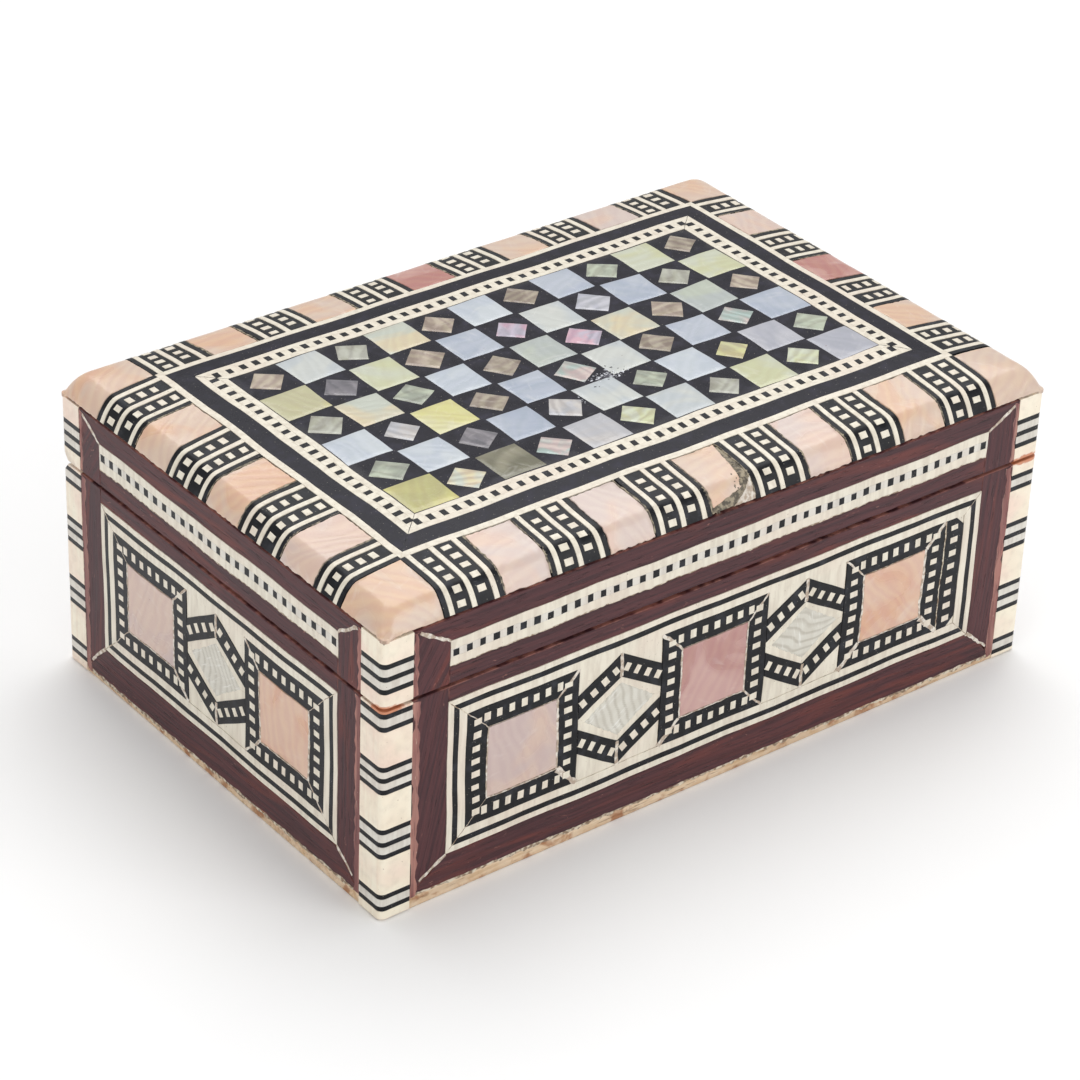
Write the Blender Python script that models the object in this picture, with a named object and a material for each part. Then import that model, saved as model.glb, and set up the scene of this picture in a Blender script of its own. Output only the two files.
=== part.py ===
"""Small wooden box with pearl, bone and mahogany inlay and a hinged lid.

Metres, +Z up. +X runs along the long front side, +Y points to the back, where the hinges are, and the
origin is the middle of the underside. The box stands closed. The lid turns about a line just inside
the back edge, where both halves are chamfered, so that it can swing past upright.
"""

import math

import bpy
from mathutils import Vector

MM = 0.001

# Driving dimensions of the whole box.
LENGTH = 120.0 * MM
WIDTH = 80.6 * MM
RIM_HEIGHT = 46.0 * MM  # outer edge of the lid's rolled border
ROLL_RISE = 3.0 * MM  # the quick rounding at that edge
ROLL_REACH = 3.0 * MM
ROLL_POWER = 2.2
DOME_RISE = 1.8 * MM  # from there to the flat middle of the lid
DOME_REACH = 22.0 * MM  # how far in from the edge the top keeps rising
DOME_POWER = 2.0
BASE_TOP = 34.6 * MM
LID_BOTTOM = 35.1 * MM

# Thicknesses, and the clearance between neighbouring pieces.
GAP = 0.3 * MM
FLOOR = 2.0 * MM
SKIN = 1.2 * MM  # veneer, stringing and inlay
WALL = 3.8 * MM
CLOTH = 0.6 * MM
POST = 5.0 * MM
POST_ROUNDING = 1.0 * MM
BOARD_UNDERSIDE = 43.6 * MM
RIM_THICKNESS = 0.4 * MM  # pearl left at the outer edge of the rolled border

# Inlay layout on the sides, measured inwards from the ends of a side or up from the ground.
PANEL_INSET_LONG = 11.0 * MM
PANEL_INSET_SHORT = 10.4 * MM
BASE_PANEL_Z = (6.9 * MM, 32.2 * MM)
LID_STRIP_Z = (38.0 * MM, 42.1 * MM)
LINING_RIM_BASE = 33.4 * MM
LINING_RIM_LID = 36.2 * MM

# Bands of the top, measured inwards from the edge.
BORDER_END = 10.0 * MM
BONE_LINE_END = 11.1 * MM
DARK_BAND_END = 14.1 * MM
DOTTED_FRAME_END = 17.6 * MM

# Hinge line and hinges.
AXIS_INSET = 1.7 * MM
AXIS_Y = WIDTH / 2 - AXIS_INSET
AXIS_Z = (BASE_TOP + LID_BOTTOM) / 2
RELIEF_ANGLE = math.radians(50.5)  # of each back chamfer, from the level
RELIEF_APEX = 0.2 * MM  # how far in front of the hinge line the chamfers meet
HINGE_X = 32.0 * MM
HINGE_LENGTH = 16.0 * MM
MIDDLE_KNUCKLE = 5.6 * MM
KNUCKLE_RADIUS = 1.5 * MM
BORE_RADIUS = 0.6 * MM
PIN_RADIUS = 0.5 * MM
LEAF = 0.7 * MM
LEAF_SLACK = 0.1 * MM  # between a leaf's plate and the deep part of its pocket
LEAF_TAB = 0.5 * MM  # how far a leaf's plate runs on into its knuckles
CUT_THROUGH = 1.0 * MM  # how far a cutter runs past what it cuts

HALF_X = LENGTH / 2
HALF_Y = WIDTH / 2
WALL_INSET = SKIN + GAP  # from the outer face to the outer face of a wall
INSIDE = WALL_INSET + WALL  # from the outer face to the compartment
LEAF_FRONT_Y = HALF_Y - INSIDE + GAP
LEAF_BACK_Y = AXIS_Y - KNUCKLE_RADIUS - GAP - LEAF_SLACK
BODY_Z0 = FLOOR + GAP

SHARP_ANGLE = math.radians(40)

# Steps that curves are made of.
ROLL_STEPS = 5
BORDER_STEPS = 4
KNUCKLE_SIDES = 28
BORE_SIDES = 20
PIN_SIDES = 16
LID_SKIN_TOP = RIM_HEIGHT - RIM_THICKNESS - GAP

FINISHES = {
    "bone": ((0.78, 0.71, 0.55), 0.35, 0.0),
    "pearl": ((0.80, 0.58, 0.48), 0.22, 0.0),
    "shell_field": ((0.52, 0.54, 0.52), 0.25, 0.0),
    "mahogany": ((0.11, 0.040, 0.042), 0.42, 0.0),
    "dark_resin": ((0.018, 0.022, 0.034), 0.38, 0.0),
    "carcass_wood": ((0.55, 0.36, 0.21), 0.65, 0.0),
    "felt": ((0.20, 0.012, 0.02), 0.95, 0.0),
    "brass": ((0.62, 0.44, 0.16), 0.32, 1.0),
}


def clear_scene():
    for obj in list(bpy.data.objects):
        bpy.data.objects.remove(obj, do_unlink=True)


def finish(name):
    """The material of that name, made the first time it is asked for."""
    found = bpy.data.materials.get(name)
    if found:
        return found
    colour, roughness, metallic = FINISHES[name]
    made = bpy.data.materials.new(name)
    made.use_nodes = True
    shader = made.node_tree.nodes["Principled BSDF"]
    shader.inputs["Base Color"].default_value = (*colour, 1.0)
    shader.inputs["Roughness"].default_value = roughness
    shader.inputs["Metallic"].default_value = metallic
    return made


def add_piece(name, points, faces, finish_name, parent=None, smooth=False):
    """A new object from world points and faces. A parent empty becomes its origin."""
    origin = parent.location if parent else Vector()
    mesh = bpy.data.meshes.new(name)
    mesh.from_pydata([Vector(point) - origin for point in points], [], faces)
    mesh.validate()
    mesh.materials.append(finish(finish_name))
    if smooth:
        mesh.shade_smooth()
        mesh.set_sharp_from_angle(angle=SHARP_ANGLE)
    piece = bpy.data.objects.new(name, mesh)
    bpy.context.collection.objects.link(piece)
    piece.parent = parent
    return piece


def between_layers(low, high, cells):
    """Points and faces of the solid between two layers of matching points.

    cells tile a layer, each an outline that runs anticlockwise as seen from the high layer's side.
    An edge that only one cell has becomes a wall between the layers.
    """
    count = len(low)
    faces = [[index + count for index in cell] for cell in cells]
    faces += [list(reversed(cell)) for cell in cells]
    edges = {(cell[i - 1], cell[i]) for cell in cells for i in range(len(cell))}
    faces += [[a, b, b + count, a + count] for a, b in sorted(edges) if (b, a) not in edges]
    return [*low, *high], faces


def at_height(outline, z):
    return [(x, y, z) for x, y in outline]


def rectangle(x0, x1, y0, y1):
    return [(x0, y0), (x1, y0), (x1, y1), (x0, y1)]


def add_upright(name, outline, z0, z1, finish_name, parent=None):
    """A prism that stands on an outline in the XY plane."""
    cells = [list(range(len(outline)))]
    points, faces = between_layers(at_height(outline, z0), at_height(outline, z1), cells)
    return add_piece(name, points, faces, finish_name, parent)


def along_x(outline_yz, x0, x1):
    """Points and faces of a prism along X, on an outline of (y, z) that is anticlockwise seen from +X."""
    low = [(x0, y, z) for y, z in outline_yz]
    high = [(x1, y, z) for y, z in outline_yz]
    return between_layers(low, high, [list(range(len(outline_yz)))])


def circle(centre_y, centre_z, radius, sides):
    angles = [2 * math.pi * i / sides for i in range(sides)]
    return [(centre_y + radius * math.cos(a), centre_z + radius * math.sin(a)) for a in angles]


def joined(parts):
    """Several (points, faces) pairs as one pair."""
    points, faces = [], []
    for part_points, part_faces in parts:
        start = len(points)
        points += part_points
        faces += [[index + start for index in face] for face in part_faces]
    return points, faces


def add_cutter(name, points, faces):
    cutter = add_piece(name, points, faces, "brass")
    cutter.hide_render = True
    cutter.display_type = "WIRE"
    return cutter


def boolean(piece, operation, other):
    modifier = piece.modifiers.new(f"{operation.lower()} {other.name}", "BOOLEAN")
    modifier.operation = operation
    modifier.solver = "EXACT"
    modifier.object = other


# The four sides. A place on a side is (u, v, depth): along it, up, and in from its outer face.
SIDES = {
    "front": (HALF_X, PANEL_INSET_LONG, lambda u, v, d: (u, d - HALF_Y, v)),
    "back": (HALF_X, PANEL_INSET_LONG, lambda u, v, d: (-u, HALF_Y - d, v)),
    "left": (HALF_Y, PANEL_INSET_SHORT, lambda u, v, d: (d - HALF_X, -u, v)),
    "right": (HALF_Y, PANEL_INSET_SHORT, lambda u, v, d: (HALF_X - d, u, v)),
}


def side_layers(place, outline, depth):
    """The low and high layers of a skin on a side: at its full depth, and at the outer face."""
    low = [place(u, v, depth) for u, v in outline]
    high = [place(u, v, 0.0) for u, v in outline]
    return low, high


def add_side_panel(name, side, half_u, v0, v1, finish_name, parent=None):
    """A flat rectangular inlay that fills the opening of a veneer frame."""
    low, high = side_layers(SIDES[side][2], rectangle(-half_u, half_u, v0, v1), SKIN)
    points, faces = between_layers(low, high, [[0, 1, 2, 3]])
    return add_piece(name, points, faces, finish_name, parent)


def add_veneer_frame(name, side, z_range, opening_z, parent=None):
    """Four mitred veneer strips round an opening, as one ring."""
    half_side, panel_inset, place = SIDES[side]
    half_u = half_side - POST - GAP
    opening_u = half_side - panel_inset
    outline = rectangle(-half_u, half_u, *z_range) + rectangle(-opening_u, opening_u, *opening_z)
    low, high = side_layers(place, outline, SKIN)
    cells = [[i, (i + 1) % 4, (i + 1) % 4 + 4, i + 4] for i in range(4)]
    points, faces = between_layers(low, high, cells)
    return add_piece(name, points, faces, "mahogany", parent)


def post_outline(sign_x, sign_y):
    """A square post at one corner of the box, whose outer edge is rounded by an arc."""
    steps = 5
    centre = POST_ROUNDING
    arc = [math.pi + math.pi / 2 * i / steps for i in range(steps + 1)]
    rounded = [(centre + centre * math.cos(a), centre + centre * math.sin(a)) for a in arc]
    insets = [*rounded, (POST, 0.0), (POST, POST), (0.0, POST)]
    outline = [(sign_x * (HALF_X - sx), sign_y * (HALF_Y - sy)) for sx, sy in insets]
    return outline if sign_x * sign_y > 0 else outline[::-1]


CORNERS = {
    "front_left": (-1, -1),
    "front_right": (1, -1),
    "back_left": (-1, 1),
    "back_right": (1, 1),
}


def risen(inset, rise, reach, power):
    """Height gained at an inset on a slope that eases off towards its reach."""
    return rise * (1.0 - max(0.0, 1.0 - inset / reach) ** power)


def dome(inset):
    """Height of the lid's outer surface at that distance in from the nearest edge."""
    roll = risen(inset, ROLL_RISE, ROLL_REACH, ROLL_POWER)
    return RIM_HEIGHT + roll + risen(inset, DOME_RISE, DOME_REACH, DOME_POWER)


def border_insets(end):
    """Insets across the rolled border, closer together over the rounding at its edge."""
    rounding = evenly(0.0, ROLL_REACH, ROLL_STEPS)
    return rounding + evenly(ROLL_REACH, end, BORDER_STEPS)[1:]


def inlay_underside(inset):
    return max(dome(inset) - SKIN, RIM_HEIGHT - RIM_THICKNESS)


def loop_at(inset):
    """The rectangle that lies that far in from the edge of the box."""
    return rectangle(inset - HALF_X, HALF_X - inset, inset - HALF_Y, HALF_Y - inset)


def nested_loops(insets, filled):
    """Points and cells of nested rectangles, one inside the next. filled closes the innermost."""
    points = [point for inset in insets for point in loop_at(inset)]
    cells = []
    for ring in range(len(insets) - 1):
        for i in range(4):
            a, b = 4 * ring + i, 4 * ring + (i + 1) % 4
            cells.append([a, b, b + 4, a + 4])
    if filled:
        last = 4 * (len(insets) - 1)
        cells.append([last, last + 1, last + 2, last + 3])
    return points, cells


def evenly(start, end, steps):
    return [start + (end - start) * i / steps for i in range(steps + 1)]


def add_top_band(name, start, end, finish_name, parent, steps=2, filled=False):
    """A band of the lid's top that runs round it between two insets, on the dome."""
    insets = evenly(start, end, steps)
    outline, cells = nested_loops(insets, filled)
    heights = [inset for inset in insets for _ in range(4)]
    low = [(x, y, inlay_underside(s)) for (x, y), s in zip(outline, heights)]
    high = [(x, y, dome(s)) for (x, y), s in zip(outline, heights)]
    points, faces = between_layers(low, high, cells)
    return add_piece(name, points, faces, finish_name, parent)


def add_border_run(side, parent):
    """The rolled border along one side of the lid, between two corner blocks."""
    half_side, _, place = SIDES[side]
    half_u = half_side - BORDER_END
    insets = border_insets(BORDER_END - GAP)
    low = [place(u, inlay_underside(s), s) for s in insets for u in (-half_u, half_u)]
    high = [place(u, dome(s), s) for s in insets for u in (-half_u, half_u)]
    cells = [[2 * i, 2 * i + 1, 2 * i + 3, 2 * i + 2] for i in range(len(insets) - 1)]
    points, faces = between_layers(low, high, cells)
    add_piece(f"lid_border_{side}", points, faces, "pearl", parent, smooth=True)


def add_corner_block(corner, parent):
    """The pearl block at one corner of the rolled border, with a hip along its diagonal."""
    sign_x, sign_y = CORNERS[corner]
    end = BORDER_END - GAP
    insets = border_insets(end)
    spots = [spot for s in insets[:-1] for spot in ((s, end), (s, s), (end, s))]
    spots.append((end, end))
    low, high = [], []
    for sx, sy in spots:
        x, y = sign_x * (HALF_X - sx), sign_y * (HALF_Y - sy)
        low.append((x, y, inlay_underside(min(sx, sy))))
        high.append((x, y, dome(min(sx, sy))))
    cells = []
    for i in range(len(insets) - 2):
        a, b, c, d, e, f = range(3 * i, 3 * i + 6)
        cells += [[a, b, e, d], [b, c, f, e]]
    a, b, c, tip = range(len(spots) - 4, len(spots))
    cells += [[a, b, tip], [b, c, tip]]
    if sign_x * sign_y < 0:
        cells = [cell[::-1] for cell in cells]
    points, faces = between_layers(low, high, cells)
    add_piece(f"lid_corner_{corner}", points, faces, "pearl", parent)


def add_tray(name, closed_z, rim_z, parent=None):
    """The cloth lining: five sheets round the inside, given their thickness inwards."""
    half_x, half_y = HALF_X - INSIDE - GAP, HALF_Y - INSIDE - GAP
    outline = rectangle(-half_x, half_x, -half_y, half_y)
    points = at_height(outline, closed_z) + at_height(outline, rim_z)
    sides = [[i, (i + 1) % 4, (i + 1) % 4 + 4, i + 4] for i in range(4)]
    faces = [[3, 2, 1, 0], *sides]
    if rim_z < closed_z:
        faces = [face[::-1] for face in faces]
    tray = add_piece(name, points, faces, "felt", parent)
    cloth = tray.modifiers.new("cloth thickness", "SOLIDIFY")
    cloth.thickness = CLOTH
    cloth.offset = -1.0
    cloth.use_even_offset = True
    return tray


def rounded_rectangle(half_x, half_y, radius, steps=4):
    outline = []
    corners = ((1, -1, -90), (1, 1, 0), (-1, 1, 90), (-1, -1, 180))
    for sign_x, sign_y, first in corners:
        for i in range(steps + 1):
            angle = math.radians(first + 90 * i / steps)
            outline.append(
                (
                    sign_x * (half_x - radius) + radius * math.cos(angle),
                    sign_y * (half_y - radius) + radius * math.sin(angle),
                )
            )
    return outline


def wall_corners(half_u):
    """The corners of a wall, as places along its side and depths behind its face."""
    return [(-half_u, WALL_INSET), (half_u, WALL_INSET), (half_u, INSIDE), (-half_u, INSIDE)]


def wall_outline(side):
    """A wall stands between two posts, behind the skin."""
    half_side, _, place = SIDES[side]
    half_u = half_side - POST - GAP
    return [place(u, 0.0, depth)[:2] for u, depth in wall_corners(half_u)]


def add_lid_rail(side, parent):
    """A rail whose top slopes up under the rolled border."""
    half_side, _, place = SIDES[side]
    half_u = half_side - POST - GAP
    low, high = [], []
    for u, depth in wall_corners(half_u):
        low.append(place(u, LID_BOTTOM, depth))
        high.append(place(u, inlay_underside(depth) - GAP, depth))
    points, faces = between_layers(low, high, [[0, 1, 2, 3]])
    return add_piece(f"lid_rail_{side}", points, faces, "carcass_wood", parent)


def add_lid_board(parent):
    """The top board, let in between the rails, domed above and flat below."""
    insets = [INSIDE + GAP, *evenly(BORDER_END, DOME_REACH, 4)]
    outline, cells = nested_loops(insets, filled=True)
    heights = [inset for inset in insets for _ in range(4)]
    low = at_height(outline, BOARD_UNDERSIDE)
    high = [(x, y, inlay_underside(s) - GAP) for (x, y), s in zip(outline, heights)]
    points, faces = between_layers(low, high, cells)
    return add_piece("lid_board", points, faces, "carcass_wood", parent)


def relief_cutter():
    """The V-shaped groove along the back that lets the lid swing past upright."""
    reach = 3.0 * MM
    rise = (reach + RELIEF_APEX) * math.tan(RELIEF_ANGLE)
    apex = (AXIS_Y - RELIEF_APEX, AXIS_Z)
    outline = [apex, (AXIS_Y + reach, AXIS_Z - rise), (AXIS_Y + reach, AXIS_Z + rise)]
    return add_cutter("back_relief_cutter", *along_x(outline, -HALF_X - reach, HALF_X + reach))


def hinge_pocket_cutter():
    """Stepped pockets for the leaves and the knuckles of both hinges, in base and lid alike."""
    leaf_step = AXIS_Z - BASE_TOP + LEAF + GAP
    knuckle_step = KNUCKLE_RADIUS + GAP
    front, back, step_y = HALF_Y - INSIDE - CUT_THROUGH, HALF_Y + CUT_THROUGH, AXIS_Y - knuckle_step
    half = [(front, leaf_step), (step_y, leaf_step), (step_y, knuckle_step), (back, knuckle_step)]
    outline = [(y, AXIS_Z - z) for y, z in half] + [(y, AXIS_Z + z) for y, z in reversed(half)]
    half_pocket = HINGE_LENGTH / 2 + GAP
    pockets = [along_x(outline, x - half_pocket, x + half_pocket) for x in (-HINGE_X, HINGE_X)]
    return add_cutter("hinge_pocket_cutter", *joined(pockets))


def add_leaf(name, centre_x, up, stretches, parent=None):
    """One hinge leaf: a plate in its pocket, with a knuckle round the pin at each stretch of X.

    up is 1 for the lid's leaf, whose plate lies above the hinge line, and -1 for the base's.
    """
    near, far = (LID_BOTTOM - AXIS_Z), (LID_BOTTOM - AXIS_Z + LEAF)
    z0, z1 = sorted((AXIS_Z + up * near, AXIS_Z + up * far))
    plate_end = LEAF_BACK_Y
    tab_end = AXIS_Y - KNUCKLE_RADIUS + LEAF_TAB
    half = HINGE_LENGTH / 2
    outline = [(centre_x - half, LEAF_FRONT_Y), (centre_x + half, LEAF_FRONT_Y)]
    outline.append((centre_x + half, plate_end))
    for x0, x1 in reversed(stretches):
        ends = [(centre_x + x1, plate_end), (centre_x + x1, tab_end)]
        ends += [(centre_x + x0, tab_end), (centre_x + x0, plate_end)]
        outline += [spot for spot in ends if spot != outline[-1]]
    if outline[-1] != (centre_x - half, plate_end):
        outline.append((centre_x - half, plate_end))
    leaf = add_upright(name, outline, z0, z1, "brass", parent)
    knuckle = circle(AXIS_Y, AXIS_Z, KNUCKLE_RADIUS, KNUCKLE_SIDES)
    barrels = [along_x(knuckle, centre_x + x0, centre_x + x1) for x0, x1 in stretches]
    past = half + CUT_THROUGH
    bore = along_x(circle(AXIS_Y, AXIS_Z, BORE_RADIUS, BORE_SIDES), centre_x - past, centre_x + past)
    boolean(leaf, "UNION", add_cutter(f"{name}_barrels", *joined(barrels)))
    boolean(leaf, "DIFFERENCE", add_cutter(f"{name}_bore", *bore))
    return leaf


def add_hinge(side_name, centre_x, lid):
    half, middle = HINGE_LENGTH / 2, MIDDLE_KNUCKLE / 2
    add_leaf(f"hinge_base_leaf_{side_name}", centre_x, -1, [(-half, -middle - GAP), (middle + GAP, half)])
    add_leaf(f"hinge_lid_leaf_{side_name}", centre_x, 1, [(-middle, middle)], lid)
    pin = along_x(circle(AXIS_Y, AXIS_Z, PIN_RADIUS, PIN_SIDES), centre_x - half + GAP, centre_x + half - GAP)
    add_piece(f"hinge_pin_{side_name}", *pin, "brass", smooth=True)


def build_base(back_cutters):
    floor = rounded_rectangle(HALF_X, HALF_Y, POST_ROUNDING)
    add_upright("base_floor", floor, 0.0, FLOOR, "carcass_wood")
    at_back = []
    for corner, signs in CORNERS.items():
        post = add_upright(f"base_post_{corner}", post_outline(*signs), BODY_Z0, BASE_TOP, "bone")
        at_back += [post] if signs[1] > 0 else []
    for side, (half_side, panel_inset, _) in SIDES.items():
        wall = add_upright(f"base_wall_{side}", wall_outline(side), BODY_Z0, BASE_TOP, "carcass_wood")
        veneer = add_veneer_frame(f"base_veneer_{side}", side, (BODY_Z0, BASE_TOP), BASE_PANEL_Z)
        z0, z1 = BASE_PANEL_Z
        half_u = half_side - panel_inset - GAP
        add_side_panel(f"base_inlay_{side}", side, half_u, z0 + GAP, z1 - GAP, "bone")
        at_back += [wall, veneer] if side == "back" else []
    add_tray("base_lining", BODY_Z0, LINING_RIM_BASE)
    for piece in at_back:
        for cutter in back_cutters:
            boolean(piece, "DIFFERENCE", cutter)


def build_lid(lid, back_cutters):
    add_lid_board(lid)
    at_back = []
    for corner, signs in CORNERS.items():
        name = f"lid_post_{corner}"
        post = add_upright(name, post_outline(*signs), LID_BOTTOM, LID_SKIN_TOP, "bone", lid)
        at_back += [post] if signs[1] > 0 else []
        add_corner_block(corner, lid)
    for side, (half_side, panel_inset, _) in SIDES.items():
        rail = add_lid_rail(side, lid)
        veneer = add_veneer_frame(f"lid_veneer_{side}", side, (LID_BOTTOM, LID_SKIN_TOP), LID_STRIP_Z, lid)
        z0, z1 = LID_STRIP_Z
        half_u = half_side - panel_inset - GAP
        add_side_panel(f"lid_dotted_strip_{side}", side, half_u, z0 + GAP, z1 - GAP, "bone", lid)
        add_border_run(side, lid)
        at_back += [rail, veneer] if side == "back" else []
    add_top_band("lid_bone_line", BORDER_END, BONE_LINE_END - GAP, "bone", lid)
    add_top_band("lid_dark_band", BONE_LINE_END, DARK_BAND_END - GAP, "dark_resin", lid)
    add_top_band("lid_dotted_frame", DARK_BAND_END, DOTTED_FRAME_END - GAP, "bone", lid)
    add_top_band("lid_checker_field", DOTTED_FRAME_END, DOME_REACH, "shell_field", lid, filled=True)
    add_tray("lid_lining", BOARD_UNDERSIDE - GAP, LINING_RIM_LID, lid)
    for piece in at_back:
        for cutter in back_cutters:
            boolean(piece, "DIFFERENCE", cutter)


def main():
    clear_scene()
    lid = bpy.data.objects.new("lid_hinge_line", None)
    lid.location = (0.0, AXIS_Y, AXIS_Z)
    bpy.context.collection.objects.link(lid)
    back_cutters = [relief_cutter(), hinge_pocket_cutter()]
    build_base(back_cutters)
    build_lid(lid, back_cutters)
    for name, centre_x in (("left", -HINGE_X), ("right", HINGE_X)):
        add_hinge(name, centre_x, lid)


main()
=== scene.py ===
"""Looks of a small wooden box with pearl, bone and mahogany inlay and a hinged lid.

Sizes are in millimetres until a piece is made. Each side of the box, and its top, has a flat layout of
inlay pieces, in places (along, up, out) seen from outside, that is then bent to its place on the box.
"""

import logging
import math
from collections.abc import Callable, Iterable
from dataclasses import dataclass, field, replace
from enum import Enum

import bmesh
import bpy
import numpy as np
from mathutils import Matrix, Vector


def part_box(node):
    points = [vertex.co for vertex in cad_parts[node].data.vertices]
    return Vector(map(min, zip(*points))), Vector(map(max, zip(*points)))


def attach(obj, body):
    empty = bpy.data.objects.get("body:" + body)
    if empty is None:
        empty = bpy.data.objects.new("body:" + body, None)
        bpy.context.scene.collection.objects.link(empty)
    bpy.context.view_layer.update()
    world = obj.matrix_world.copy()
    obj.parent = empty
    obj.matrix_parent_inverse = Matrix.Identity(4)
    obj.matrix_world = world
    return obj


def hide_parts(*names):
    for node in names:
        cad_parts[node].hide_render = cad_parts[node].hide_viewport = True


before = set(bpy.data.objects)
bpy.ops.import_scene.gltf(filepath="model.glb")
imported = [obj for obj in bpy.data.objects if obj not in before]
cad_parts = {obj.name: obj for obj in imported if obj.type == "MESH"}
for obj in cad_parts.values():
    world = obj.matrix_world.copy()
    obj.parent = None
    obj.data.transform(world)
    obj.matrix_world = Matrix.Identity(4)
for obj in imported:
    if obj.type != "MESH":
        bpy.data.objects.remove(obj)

MM = 0.001
Colour = tuple[float, float, float]
Spot = tuple[float, float]
Stretch = tuple[Spot, Spot]
Array = np.ndarray
Place = Callable[[Array], Array]
Relief = Callable[[Array, Array], Array]
Faces = list[tuple[int, ...]]
Socket = bpy.types.NodeSocket
Mesh = bpy.types.Mesh

log = logging.getLogger("inlaid_box")


def span(node: str) -> tuple[Array, Array]:
    """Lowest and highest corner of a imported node, in millimetres."""
    low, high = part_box(node)
    return np.array(low) / MM, np.array(high) / MM


HALF_LENGTH, HALF_WIDTH, _ = span("base_floor")[1]
BASE_TOP = span("base_post_front_left")[1][2]
LID_BOTTOM = span("lid_post_front_left")[0][2]
SEAM = (BASE_TOP + LID_BOTTOM) / 2
RIM_THICKNESS = 0.4
RIM = span("lid_border_front")[0][2] + RIM_THICKNESS
ROLL_RISE = 3.0  # the quick rounding at the rim
ROLL_REACH = 3.0
ROLL_POWER = 2.2
DOME_RISE = span("lid_checker_field")[1][2] - RIM - ROLL_RISE
DOME_REACH = 22.0
DOME_POWER = 2.0
CORNER_SOFTNESS = 2.0  # how far the hips of the dome are rounded
POST = 5.0
POST_ROUNDING = 1.0
HINGE_X = 32.0
POCKET_HALF = 8.3
POCKET_RISE = 1.8
RELIEF_APEX = (38.4, SEAM)  # (Y, Z) where the two back chamfers meet
RELIEF_ANGLE = math.radians(50.5)


def dye(red: int, green: int, blue: int) -> Colour:
    """A display colour of 0 to 255 as the linear colour that shaders take."""
    parts = [part / 255 for part in (red, green, blue)]
    return tuple(p / 12.92 if p <= 0.04045 else ((p + 0.055) / 1.055) ** 2.4 for p in parts)


def dome_height(across: Array, up: Array) -> Array:
    """Height of the lid's outer surface.

    Args:
        across: X of the places.
        up: Y of the places.

    Returns:
        The heights, with the hips between the four slopes rounded.
    """
    from_end, from_side = HALF_LENGTH - np.abs(across), HALF_WIDTH - np.abs(up)
    blend = np.clip(CORNER_SOFTNESS - np.abs(from_end - from_side), 0, None) / CORNER_SOFTNESS
    inset = np.minimum(from_end, from_side) - blend**2 * CORNER_SOFTNESS / 4
    inset = np.clip(inset, 0, None)
    roll = np.clip(1 - inset / ROLL_REACH, 0, None) ** ROLL_POWER
    fall = np.clip(1 - inset / DOME_REACH, 0, None) ** DOME_POWER
    return RIM + ROLL_RISE * (1 - roll) + DOME_RISE * (1 - fall)


def dome_place(across: Array, up: Array, out: Array) -> Array:
    """Places on the lid's outer surface, or a little off it, at right angles to it.

    Args:
        across: X of the places.
        up: Y of the places.
        out: how far each stands out.

    Returns:
        The places.
    """
    near = 0.02  # step for the slopes
    slope_x = (dome_height(across + near, up) - dome_height(across - near, up)) / (2 * near)
    slope_y = (dome_height(across, up + near) - dome_height(across, up - near)) / (2 * near)
    steep = np.sqrt(1 + slope_x**2 + slope_y**2)
    lean = out / steep
    return np.stack([across - lean * slope_x, up - lean * slope_y, dome_height(across, up) + lean], axis=1)


ROLL_INSETS = np.linspace(0, DOME_REACH, 400)
ROLL_HEIGHTS = dome_height(np.zeros(400), HALF_WIDTH - ROLL_INSETS)
ROLL_LENGTHS = np.concatenate([[0], np.cumsum(np.hypot(np.diff(ROLL_INSETS), np.diff(ROLL_HEIGHTS)))])


def unrolled(inset: float) -> float:
    """Length along the lid's surface from its rim to an inset."""
    return float(np.interp(inset, ROLL_INSETS, ROLL_LENGTHS))


BORDER = 10.0
BORDER_SLACK = unrolled(BORDER) - BORDER


def wander(flat: Array, room: Array, amount: float) -> Array:
    """Shifts places a little, as hand-laid strips wander, and not at the edges of a side.

    Args:
        flat: places (along, up, out).
        room: distance of each place from the nearest edge that must stay straight.
        amount: size of the shift.

    Returns:
        The shifted places.
    """
    u, v = flat[:, 0], flat[:, 1]
    hold = np.clip(room / 4, 0, 1) * amount
    moved = flat.copy()
    along = np.sin(0.31 * u + 0.23 * v + 1.3) + 0.7 * np.sin(0.13 * u - 0.41 * v) + 0.3 * np.sin(v)
    across = np.sin(0.17 * u + 0.29 * v) + 0.8 * np.sin(0.37 * u - 0.11 * v + 2) + 0.3 * np.sin(u)
    moved[:, :2] += np.stack([hold * along, hold * across], axis=1)
    return moved


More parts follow.
